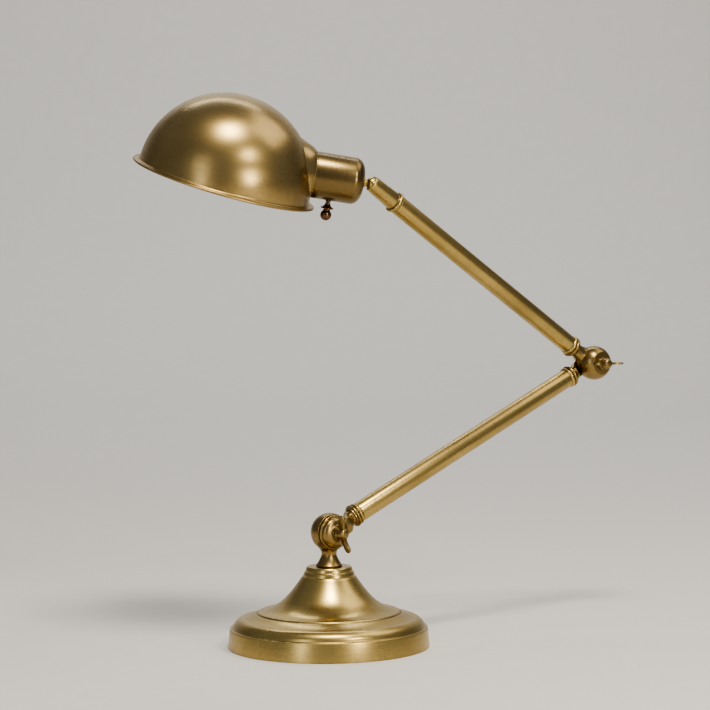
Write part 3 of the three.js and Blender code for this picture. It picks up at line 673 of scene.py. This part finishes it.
def cap_room(knuckle):
    """The space that the cap half turns in."""
    rim = CAP_RIM_SHARE * knuckle.radius
    reach = knuckle.radius + PAST_BALL
    return knuckle.placed(rod(rim + TURNING_ROOM, BALL_FACE, reach, "front", 96))


def ball_room(knuckle):
    """The space that the ball half turns in."""
    radius = knuckle.radius
    reach = radius + PAST_BALL
    return knuckle.placed(rod(radius + TURNING_ROOM, -reach, CAP_FACE - 0.4, "front", 96))


def pin_hole(knuckle):
    return rod(PIN_RADIUS + GAP, knuckle.back - 2, knuckle.front + 2, "front", 48)


def smooth_station(stations, t):
    """A place on the smooth line through the stations; t runs from 0 to 1."""
    spans = len(stations) - 1
    index = min(int(t * spans), spans - 1)
    f = t * spans - index
    around = [stations[max(0, min(spans, index + k))] for k in (-1, 0, 1, 2)]
    return [
        0.5 * (2 * b + (c - a) * f + (2 * a - 5 * b + 4 * c - d) * f**2
               + (3 * b - a - 3 * c + d) * f**3)
        for a, b, c, d in zip(*around)
    ]


def crook(knuckle):
    """The bent root of a neck, from the cap to the arms' plane.

    Its stations hold the place along the arm, the offset towards the cap and two half widths.
    """
    radius = knuckle.radius
    depth = knuckle.forward + CAP_FACE + 2.6
    stations = [
        (radius * 0.45, depth + 0.2, 2.2, radius * 0.46),
        (radius * 0.92, depth - 0.4, 3.4, NECK_RADIUS + 1.2),
        (radius + 2.4, depth * 0.66, 5.2, NECK_RADIUS + 0.7),
        (RING_PLACE - 7.2, depth * 0.17, 6.6, NECK_RADIUS - 0.1),
        (RING_PLACE - 3, 0, NECK_RADIUS - 0.8, NECK_RADIUS - 0.8),
    ]
    shape = bmesh.new()
    rings = []
    steps, sides = 26, 48
    for step in range(steps + 1):
        along, side, half_side, half_height = smooth_station(stations, step / steps)
        rings.append([
            shape.verts.new((
                along,
                -side - half_side * math.cos(2 * math.pi * (i + 0.5) / sides),
                half_height * math.sin(2 * math.pi * (i + 0.5) / sides),
            ))
            for i in range(sides)
        ])
    root, end = [
        [shape.verts.new((station[0], -station[1], 0))] for station in (stations[0], stations[-1])
    ]
    return skinned(shape, [root, *rings, end], False)


def ball_knuckle(knuckle):
    """An arm's root with the ball half on a straight neck."""
    straight = cut(neck(0.45 * knuckle.radius, 0.8 * knuckle.radius), cap_room(knuckle))
    return cut(joined(ball_half(knuckle), straight), pin_hole(knuckle))


def cap_knuckle(knuckle):
    """An arm's root with the cap half on a crooked neck."""
    bent = cut(crook(knuckle), ball_room(knuckle))
    return cut(joined(cap_half(knuckle), bent, neck(RING_PLACE - 6.5)), pin_hole(knuckle))


def stem():
    """The flared foot, the waist and the ball half of the lower knuckle."""
    foot_place = BASE_TOP + GAP - lower_pivot.z / MM
    outline = [(0, foot_place), (12.4, foot_place), (12.5, foot_place + 0.9)]
    outline += bend(outline[-1], (9.8, foot_place + 4.2), (7.4, foot_place + 9.8), 12)
    outline += bend(outline[-1], (7, foot_place + 12.4), (7.8, foot_place + 14.4), 8)
    outline += bend(outline[-1], (8.4, foot_place + 15.6), (10.2, foot_place + 17.4), 5)
    outline += [(0, foot_place + 22)]
    foot = cut(turned(soft(outline, 0.4), "z", 96), cap_room(LOWER))
    return cut(joined(ball_half(LOWER), foot), pin_hole(LOWER))


def pivot_bolt(knuckle):
    """A slotted round-headed bolt through the knuckle."""
    flat, shank = knuckle.back, knuckle.front + 6
    outline = [(0, flat - 3.4)]
    outline += bend(outline[-1], (4.6, flat - 3.4), (5.6, flat - 1.6), 8)
    outline += [
        (5.6, flat - GAP), (PIN_RADIUS, flat - GAP), (PIN_RADIUS, shank - 0.5),
        (PIN_RADIUS - 0.5, shank), (0, shank),
    ]
    slot = block((-7, -flat + 2, -0.6), (7, -flat + 5, 0.6))
    return cut(turned(soft(outline, 0.25), "front", 48), slot)


def wing_washer(knuckle):
    seat = knuckle.front + GAP
    top = seat + WASHER_THICKNESS
    outline = [(3, seat), (6.9, seat), (6.9, top), (3, top), (3, seat)]
    return turned(soft(outline, 0.3), "front", 64)


def ear(seat, tip):
    """One rounded leaf of the wing nut, flat at its root and leaning outwards."""
    outline = [(3.2, seat + 1.2), (6.2, seat + 1.3)]
    outline += bend(outline[-1], (10, seat + 2.2), (tip - 1.2, seat + 5.6), 8)
    outline += arc((tip - 3.6, seat + 8.6), 3.6, -38, 112, 14)
    outline += bend(outline[-1], (9.6, seat + 8.4), (3.2, seat + 8), 8)
    half = 1.15
    shape = bmesh.new()
    back = [shape.verts.new((x, -place, -half)) for x, place in outline]
    front = [shape.verts.new((x, -place, half)) for x, place in outline]
    shape.faces.new(back)
    shape.faces.new(front[::-1])
    for i in range(len(outline)):
        j = (i + 1) % len(outline)
        shape.faces.new([back[i], back[j], front[j], front[i]])
    rims = [edge for edge in shape.edges if abs(edge.verts[0].co.z - edge.verts[1].co.z) < 0.1]
    bmesh.ops.bevel(shape, geom=rims, offset=0.75, segments=4, profile=0.5, affect="EDGES")
    bmesh.ops.recalc_face_normals(shape, faces=shape.faces)
    return shape


WING_TIP = 18.4


def wing_nut(knuckle, turn):
    """A round hub with two ears, turned by degrees from level."""
    seat = knuckle.front + WASHER_THICKNESS + 2 * GAP
    hub = [(0, seat), (6.3, seat), (6.3, seat + 0.9)]
    hub += bend(hub[-1], (5.6, seat + 1.6), (5.5, seat + 4), 6)
    hub += bend(hub[-1], (5.4, seat + 8.6), (3.2, seat + 9.6), 10)
    hub += [(2, seat + 9.8), (0, seat + 9.8)]
    nut = joined(
        turned(soft(hub, 0.3), "front", 64),
        ear(seat, WING_TIP),
        spun(ear(seat, WING_TIP), math.pi, "Y"),
    )
    return spun(nut, math.radians(turn), "Y")


for prefix, knuckle, place, turn, rear, front, wing in (
    ("lower_knuckle", LOWER, LOWER_KNUCKLE, 77, "stem", "lower_arm", "lower_wing"),
    ("elbow", UPPER, ELBOW, 0, "lower_arm", "upper_arm", "elbow_wing"),
):
    piece(f"{prefix}_pivot_bolt", pivot_bolt(knuckle), place, rear,
          [f"{prefix}_bolt"], knuckle_brass)
    piece(f"{prefix}_washer_turned", wing_washer(knuckle), place, front,
          [f"{prefix}_wing_washer"], knuckle_brass)
    piece(f"{prefix}_wings", wing_nut(knuckle, turn), place, wing,
          [f"{prefix}_wing_nut"], knuckle_brass)

# The elbow's cap half is drawn in a frame whose front is the lamp's back.
UPPER_FROM_BEHIND = Knuckle(UPPER.radius, -UPPER.forward, False)

piece("stem_turned", stem(), LOWER_KNUCKLE, "stem", ["stem"], knuckle_brass)
piece("lower_arm_root", cap_knuckle(LOWER), LOWER_ARM, "lower_arm",
      ["lower_arm_knuckle"], knuckle_brass)
piece("elbow_rear", cap_knuckle(UPPER_FROM_BEHIND), LOWER_ARM_END, "lower_arm",
      ["elbow_back_knuckle"], knuckle_brass)
piece("upper_arm_root", ball_knuckle(UPPER), UPPER_ARM, "upper_arm",
      ["upper_arm_knuckle"], knuckle_brass)

# ---- arms ----

TUBE_BORE = TUBE_RADIUS - 1.1
ARM_END_BORE = 3.4


def collar(start, end):
    """A small turned bead between the large ring and the tube."""
    outline = [(TUBE_BORE, start), (TUBE_RADIUS + 0.2, start)]
    outline += bend(outline[-1], (TUBE_RADIUS + 2.2, (start + end) / 2), (TUBE_RADIUS, end), 10)
    outline += [(TUBE_BORE, end), (TUBE_BORE, start)]
    return turned(soft(outline, 0.2), "x", 80)


def tube(start, end):
    outline = [
        (TUBE_BORE, start), (TUBE_RADIUS, start), (TUBE_RADIUS, end), (TUBE_BORE, end),
        (TUBE_BORE, start),
    ]
    return turned(soft(outline, 0.25), "x", 96)


for name, node_name, place, body in (
    ("lower_arm_bead", "lower_arm_lower_collar", LOWER_ARM, "lower_arm"),
    ("lower_arm_end_bead", "lower_arm_upper_collar", LOWER_ARM_END, "lower_arm"),
    ("upper_arm_bead", "upper_arm_lower_collar", UPPER_ARM, "upper_arm"),
):
    low, high = extent(node_name, place)
    piece(name, collar(low.x, high.x), place, body, [node_name], arm_brass)

for name, node_name, place, body in (
    ("lower_arm_tubing", "lower_arm_tube", LOWER_ARM, "lower_arm"),
    ("upper_arm_tubing", "upper_arm_tube", UPPER_ARM, "upper_arm"),
):
    low, high = extent(node_name, place)
    piece(name, tube(low.x, high.x), place, body, [node_name], arm_brass)


def arm_tip():
    """The bead ring at the arm's end and the pivot that the swivel sleeve turns on."""
    start, bore = SLEEVE_BACK, ARM_END_BORE
    outline = [
        (bore, start - 22), (SPIGOT_RADIUS, start - 22), (SPIGOT_RADIUS, start - 4.9),
        (TUBE_RADIUS + 0.1, start - 4.9), (RING_RADIUS - 1.2, start - 4.4),
    ]
    outline += arc((RING_RADIUS - 1.9, start - 2.6), 1.9, -60, 60, 10)
    outline += [
        (8.5, start - 0.7), (8.4, start - GAP), (6.3, start - GAP), (6.3, start + 20),
        (bore, start + 20), (bore, start - 22),
    ]
    return turned(soft(outline, 0.25), "x", 80)


def swivel_sleeve():
    """The sleeve that holds the ball; its slot lets the stud tilt to one side."""
    bore, mouth = 6.8, 2.2
    outline = [(bore, SLEEVE_BACK), (SLEEVE_RADIUS + 0.8, SLEEVE_BACK), (SLEEVE_RADIUS - 0.2, -3)]
    outline += bend(outline[-1], (SLEEVE_RADIUS - 0.3, mouth - 0.3), (bore + 0.2, mouth), 10)
    outline += arc((0, 0), bore, math.degrees(math.asin(mouth / bore)), 0, 5)
    outline += [(bore, SLEEVE_BACK)]
    slot = block((-3, -4, 0), (mouth + 1, 4, SLEEVE_RADIUS + 1))
    return cut(turned(soft(outline, 0.3), "x", 80), slot)


BALL_RADIUS = 6.5
STUD_RADIUS = 3.2


def ball_stud():
    """The ball, its stud and the small collar that the cup's back rests against."""
    neck_turn = math.degrees(math.acos(STUD_RADIUS / BALL_RADIUS))
    outline = arc((0, 0), BALL_RADIUS, -90, neck_turn, 26)
    outline += [
        (STUD_RADIUS, CUP_BACK - 1.8), (4.5, CUP_BACK - 1.5), (4.6, CUP_BACK - GAP),
        (3, CUP_BACK - GAP), (3, CUP_BACK + 10), (0, CUP_BACK + 10),
    ]
    return turned(soft(outline, 0.3), "x", 64)


piece("arm_tip_turned", arm_tip(), ARM_TIP, "upper_arm", ["upper_arm_tip"], arm_brass)
piece("sleeve_turned", swivel_sleeve(), SLEEVE, "swivel", ["swivel_sleeve"], arm_brass)
piece("ball_turned", ball_stud(), HEAD, "ball", ["ball_stud"], arm_brass)

# ---- head ----

CUP_WALL = 1.2
STUD_HOLE = 3.3
SWITCH_HOLE = 2.9
FERRULE_RADIUS = CUP_RADIUS - CUP_WALL - GAP


def socket_cup():
    """The cup with its rounded back, a hole for the stud and one for the switch."""
    across, along = 15, 10.5
    outside = [(STUD_HOLE, CUP_BACK), (CUP_RADIUS - across, CUP_BACK)]
    for i in range(1, 17):
        turn = math.radians(-90 + 90 * i / 16)
        outside.append((
            CUP_RADIUS - across + across * math.cos(turn),
            CUP_BACK + along + along * math.sin(turn),
        ))
    outside += [(CUP_RADIUS, CUP_FRONT), (CUP_RADIUS - CUP_WALL, CUP_FRONT)]
    inside = [
        (CUP_RADIUS - CUP_WALL, CUP_BACK + along), (CUP_RADIUS - across, CUP_BACK + CUP_WALL),
        (STUD_HOLE, CUP_BACK + CUP_WALL), (STUD_HOLE, CUP_BACK),
    ]
    hole = rod(SWITCH_HOLE, -CUP_RADIUS - 2, -CUP_RADIUS + 4, "z", 32)
    moved(hole, (SWITCH_PLACE, 0, 0))
    return cut(turned(soft(outside + inside, 0.3), "x", 128), hole)


def ferrule():
    start, end = (corner.x for corner in extent("neck_ferrule", HEAD))
    inner, outer = FERRULE_RADIUS - 1.2, FERRULE_RADIUS
    outline = [(inner, start), (outer, start), (outer, end), (inner, end), (inner, start)]
    return turned(soft(outline, 0.2), "x", 96)


DOME_REACH, DOME_DROP, DOME_TIP = 140.1, 23.1, 6.3
DOME_RADIUS, DOME_SKIRT, LIP_RADIUS = 83, 4, 89
SHADE_WALL = 1.0
NECK_START = CUP_FRONT + GAP

# The shoulder meets the dome this many degrees from the neck's middle, and further out on top.
SHOULDER_TURN, SHOULDER_LIFT = 16.4, 9.5
SHOULDER_PULL = 0.36

DOME_LEAN = Matrix.Rotation(math.radians(-DOME_TIP), 4, "Y")
DOME_IN_HEAD = Matrix.Translation((DOME_REACH, 0, -DOME_DROP)) @ DOME_LEAN
HEAD_IN_DOME = DOME_IN_HEAD.inverted()
DOME = HEAD @ Matrix.Translation((DOME_REACH * MM, 0, -DOME_DROP * MM)) @ DOME_LEAN


def shade_wall(lip_turn, inset):
    """Points on one side of the shade, from the neck's edge over the dome to the skirt's foot.

    They follow the great circle from the middle of the neck to one point of the lip. A rounded
    shoulder stands out round the neck and is highest on top.
    """
    centre = Vector((0, 0, DOME_SKIRT))
    radius = DOME_RADIUS - inset
    foot = Vector((math.cos(lip_turn), math.sin(lip_turn), 0))
    neck_origin = HEAD_IN_DOME @ Vector((0, 0, 0))
    neck_way = (HEAD_IN_DOME @ Vector((1, 0, 0)) - neck_origin).normalized()
    offset = neck_origin - centre
    along = -offset.dot(neck_way) - math.sqrt(
        offset.dot(neck_way) ** 2 - offset.length_squared + radius**2
    )
    pole = (neck_origin + neck_way * along - centre) / radius
    ray = (foot - pole * foot.dot(pole)).normalized()
    in_head = DOME_IN_HEAD.to_3x3() @ ray
    turn = math.atan2(in_head.z, in_head.y)
    lift = ((1 + math.sin(turn)) / 2) ** 1.5
    start_turn = math.radians(SHOULDER_TURN + SHOULDER_LIFT * lift)
    end_turn = math.acos(max(-1, min(1, pole.dot(foot))))
    outwards = HEAD_IN_DOME.to_3x3() @ Vector((0, math.cos(turn), math.sin(turn)))

    def on_dome(angle):
        return centre + radius * (pole * math.cos(angle) + ray * math.sin(angle))

    def on_neck(place):
        return neck_origin + neck_way * place + outwards * (CUP_RADIUS - inset)

    root = on_neck(NECK_START + 0.6)
    top = on_dome(start_turn)
    pull = SHOULDER_PULL * (top - root).length
    first = root + (0.72 * outwards + 0.69 * neck_way) * pull
    last = top - (0.55 * outwards + 0.83 * neck_way) * pull
    points = [on_neck(NECK_START), root]
    for i in range(1, 13):
        t = i / 12
        points.append(
            root * (1 - t) ** 3 + first * (3 * t * (1 - t) ** 2)
            + last * (3 * t * t * (1 - t)) + top * t**3
        )
    steps = 44
    for i in range(1, steps + 1):
        points.append(on_dome(start_turn + (end_turn - start_turn) * i / steps))
    return points, foot


def shade():
    """A thin shell: the outside, round the rolled lip, and back along the inside."""
    lip = soft(
        bend((DOME_RADIUS, DOME_SKIRT), (DOME_RADIUS + 0.5, 2.2), (LIP_RADIUS - 2.2, 1.9), 8)
        + arc((LIP_RADIUS - 1.2, 1.2), 1.2, 110, -90, 14)
        + bend((LIP_RADIUS - 1.2, 0), (LIP_RADIUS - 4.6, 0.2), (DOME_RADIUS - SHADE_WALL, 2.6), 8),
        0.3,
    )
    around = 288
    shape = bmesh.new()
    rings = []
    for i in range(around):
        turn = 2 * math.pi * (i + 0.5) / around
        outside, foot = shade_wall(turn, 0)
        inside, _ = shade_wall(turn, SHADE_WALL)
        edge = [foot * radius + Vector((0, 0, place)) for radius, place in lip]
        rings.append([shape.verts.new(p) for p in outside + edge + inside[::-1]])
    for i in range(around):
        first, second = rings[i], rings[(i + 1) % around]
        for j in range(len(first)):
            k = (j + 1) % len(first)
            shape.faces.new([first[j], first[k], second[k], second[j]])
    bmesh.ops.recalc_face_normals(shape, faces=shape.faces)
    return shape


def lampholder():
    back, front = (corner.x for corner in extent("lampholder", HEAD))
    outline = [
        (4, back), (9, back), (17, back + 7), (17, front), (14.6, front),
        (14.6, back + 9), (4, back + 9), (4, back),
    ]
    return turned(soft(outline, 0.8), "x", 96)


def ribbed(inner, outer, start, end, pitch, depth):
    """The outline of a sleeve with rolled ribs on its outside."""
    outline = [(inner, start)]
    steps = int((end - start) / pitch) * 8
    for i in range(steps + 1):
        place = start + (end - start) * i / steps
        wave = 0.5 - 0.5 * math.cos(2 * math.pi * (place - start) / pitch)
        outline.append((outer - depth * wave, place))
    outline += [(inner, end), (inner, start)]
    return outline


def threaded_shell():
    start, end = (corner.x for corner in extent("lampholder_thread", HEAD))
    return turned(ribbed(13.6, 14.3, start, end, 3.6, 0.3), "x", 96)


def bulb_cap():
    start, end = (corner.x for corner in extent("bulb_cap", HEAD))
    thread = ribbed(0, 13.1, start + 6, end - 2, 3.6, 0.7)[1:-2]
    outline = [(0, start), (4.6, start)]
    outline += bend(outline[-1], (6, start + 2.6), (9, start + 3.4), 6)
    outline += [(11.4, start + 4.6), *thread, (12.9, end - 1.4), (12.7, end), (0, end)]
    return turned(soft(outline, 0.3), "x", 96)


def bulb_glass():
    start, end = (corner.x for corner in extent("bulb_glass", HEAD))
    globe, neck_radius, wall = 22.5, 12.4, 0.8
    centre = end - globe
    outline = [(neck_radius, start)]
    meet = math.radians(-50)
    across, along = globe * math.cos(meet), globe * math.sin(meet)
    lean = (across - neck_radius) / math.tan(-meet)
    outline += bend(
        outline[-1], (neck_radius, centre + along - lean), (across, centre + along), 12
    )
    outline += arc((0, centre), globe, -50, 90, 40)[1:]
    inside = [(max(0, radius - wall), place - 0.5 * wall) for radius, place in outline]
    inside[-1] = (0, end - wall)
    shape = turned(outline, "x", 96)
    lining = turned(inside[::-1], "x", 96)
    mesh = bpy.data.meshes.new("working")
    lining.to_mesh(mesh)
    lining.free()
    mesh.flip_normals()
    shape.from_mesh(mesh)
    bpy.data.meshes.remove(mesh)
    rims = [edge for edge in shape.edges if edge.is_boundary]
    bmesh.ops.bridge_loops(shape, edges=rims)
    bmesh.ops.recalc_face_normals(shape, faces=shape.faces)
    return shape


def switch_bushing():
    low, high = extent("switch_bushing", HEAD)
    outline = [(1.5, low.z), (2.6, low.z), (2.6, high.z), (1.5, high.z), (1.5, low.z)]
    return moved(turned(soft(outline, 0.2), "z", 48), (SWITCH_PLACE, 0, 0))


def switch_knob():
    """A thin spindle, a small bell skirt and a pear-shaped grip."""
    edge = -CUP_RADIUS
    outline = [(0, edge + 4.9), (1.2, edge + 4.9), (1.2, edge - 2.2), (2.3, edge - 2.3)]
    outline += bend(outline[-1], (2.5, edge - 5.6), (6, edge - 6.8), 10)
    outline += bend(outline[-1], (6.6, edge - 7.4), (6, edge - 7.9), 5)
    outline += bend(outline[-1], (4, edge - 8), (3.2, edge - 8.7), 6)
    outline += bend(outline[-1], (3, edge - 9.8), (4.4, edge - 11.3), 8)
    outline += arc((0, edge - 14.4), 5.4, 35, -90, 24)[1:]
    return moved(turned(soft(outline, 0.25), "z", 64), (SWITCH_PLACE, 0, 0))


piece("socket_cup_spun", socket_cup(), HEAD, "head", ["socket_cup"], cup_brass_shaded)
piece("ferrule_spun", ferrule(), HEAD, "head", ["neck_ferrule"], cup_brass_shaded)
shade_brass = brass("brass_shade", "Z", SHADE_TINT, PATINA, 0.27, 0.6, DOME.to_3x3())
piece("shade_spun", levelled(shade(), DOME), Matrix.Translation(DOME.translation), "head",
      ["shade"], shade_brass)
piece("lampholder_fired", lampholder(), HEAD, "head", ["lampholder"], white_porcelain)
piece("lampholder_shell", threaded_shell(), HEAD, "head", ["lampholder_thread"], arm_brass)
piece("bulb_screw_cap", bulb_cap(), HEAD, "head", ["bulb_cap"], zinc)
piece("bulb_globe", bulb_glass(), HEAD, "head", ["bulb_glass"], bulb_frost)
piece("switch_collar", switch_bushing(), HEAD, "head", ["switch_bushing"], dark_bronze)
piece("switch_grip", switch_knob(), HEAD, "switch", ["switch_knob"], dark_bronze)

# ---- inner pieces kept from the CAD model ----

FINISHES = {
    "brass_turned": arm_brass,
    "zinc_steel": zinc,
    "iron": iron,
    "fibre": fibre,
}

for name, part in frame["nodes"].items():
    if not part.hide_render:
        part.data.materials.clear()
        part.data.materials.append(FINISHES[slot_of[name]])

# ---- floor, light and camera ----

VIEW_TURN = math.radians(38)
RIGHT = Vector((math.cos(VIEW_TURN), -math.sin(VIEW_TURN), 0))
AWAY = Vector((math.sin(VIEW_TURN), math.cos(VIEW_TURN), 0))
UP = Vector((0, 0, 1))


def in_view(right, away, up):
    """A point given across, along and above the camera's level line of sight."""
    return RIGHT * right + AWAY * away + UP * up


WALL_PLACE = 4.2


def backdrop():
    """A floor that curves up into a wall, which leaves room for a camera behind the lamp."""
    line = [(-30, 0), (WALL_PLACE - 1.2, 0)]
    line += bend(line[-1], (WALL_PLACE, 0), (WALL_PLACE, 1.2), 24)
    line += [(WALL_PLACE, 6)]
    shape = bmesh.new()
    rows = [
        [shape.verts.new(in_view(side, away, up)) for side in (-16, 16)] for away, up in line
    ]
    for first, second in zip(rows, rows[1:]):
        shape.faces.new([first[0], first[1], second[1], second[0]])
    mesh = bpy.data.meshes.new("backdrop")
    shape.to_mesh(mesh)
    shape.free()
    mesh.shade_smooth()
    mesh.materials.append(plain("backdrop_paint", (0.68, 0.65, 0.6), 0.8, 30, 0.02, 0.0002))
    made = bpy.data.objects.new("backdrop", mesh)
    bpy.context.scene.collection.objects.link(made)


def soft_light(name, place, target, size, power, colour):
    """A rectangular light at a place, facing its target."""
    data = bpy.data.lights.new(name, "AREA")
    data.shape = "RECTANGLE"
    data.size, data.size_y = size
    data.energy = power
    data.color = colour
    lamp = bpy.data.objects.new(name, data)
    bpy.context.scene.collection.objects.link(lamp)
    lamp.location = place
    lamp.visible_camera = False
    lamp.rotation_mode = "QUATERNION"
    lamp.rotation_quaternion = (place - target).to_track_quat("Z", "Y")


def sky(strength):
    world = bpy.data.worlds.new("studio")
    bpy.context.scene.world = world
    world.use_nodes = True
    background = world.node_tree.nodes["Background"]
    background.inputs["Color"].default_value = (0.9, 0.93, 1.0, 1)
    background.inputs["Strength"].default_value = strength


WARM = (1.0, 0.95, 0.87)
COOL = (0.95, 0.97, 1.0)
LAMP = Vector((0.02, 0.0, 0.3))

backdrop()
sky(0.24)
soft_light("key", in_view(0.2, -0.81, 2.22), LAMP, (0.5, 0.5), 34, WARM)
soft_light("window_high", in_view(1.05, -1.34, 1.45), LAMP, (0.3, 0.3), 9, WARM)
soft_light("window_low", in_view(1.13, -1.5, 0.5), LAMP, (0.26, 0.5), 10, WARM)
soft_light("left_strip", in_view(-0.85, -1.65, 0.62), LAMP, (0.3, 1.4), 5, COOL)
soft_light("upper_right", in_view(1.3, 0.35, 2.1), LAMP, (1.6, 1.2), 12, WARM)
soft_light("wall_wash", in_view(-0.3, WALL_PLACE - 1.7, 3.6), in_view(0, WALL_PLACE, 1.1),
           (3.2, 0.8), 75, COOL)

SENSOR_WIDTH, LENS = 36, 119.15
CAMERA_PLACE = in_view(0.1285, -2.221, 0.3837)

camera_data = bpy.data.cameras.new("camera")
camera_data.sensor_width = SENSOR_WIDTH
camera_data.lens = LENS
camera_data.shift_x = -0.155
camera_data.shift_y = -0.162
camera = bpy.data.objects.new("camera", camera_data)
bpy.context.scene.collection.objects.link(camera)
camera.location = CAMERA_PLACE
camera.rotation_euler = (math.pi / 2, 0, -VIEW_TURN)
bpy.context.scene.camera = camera

bpy.context.scene.view_settings.view_transform = "AgX"
bpy.context.scene.view_settings.look = "AgX - Medium High Contrast"
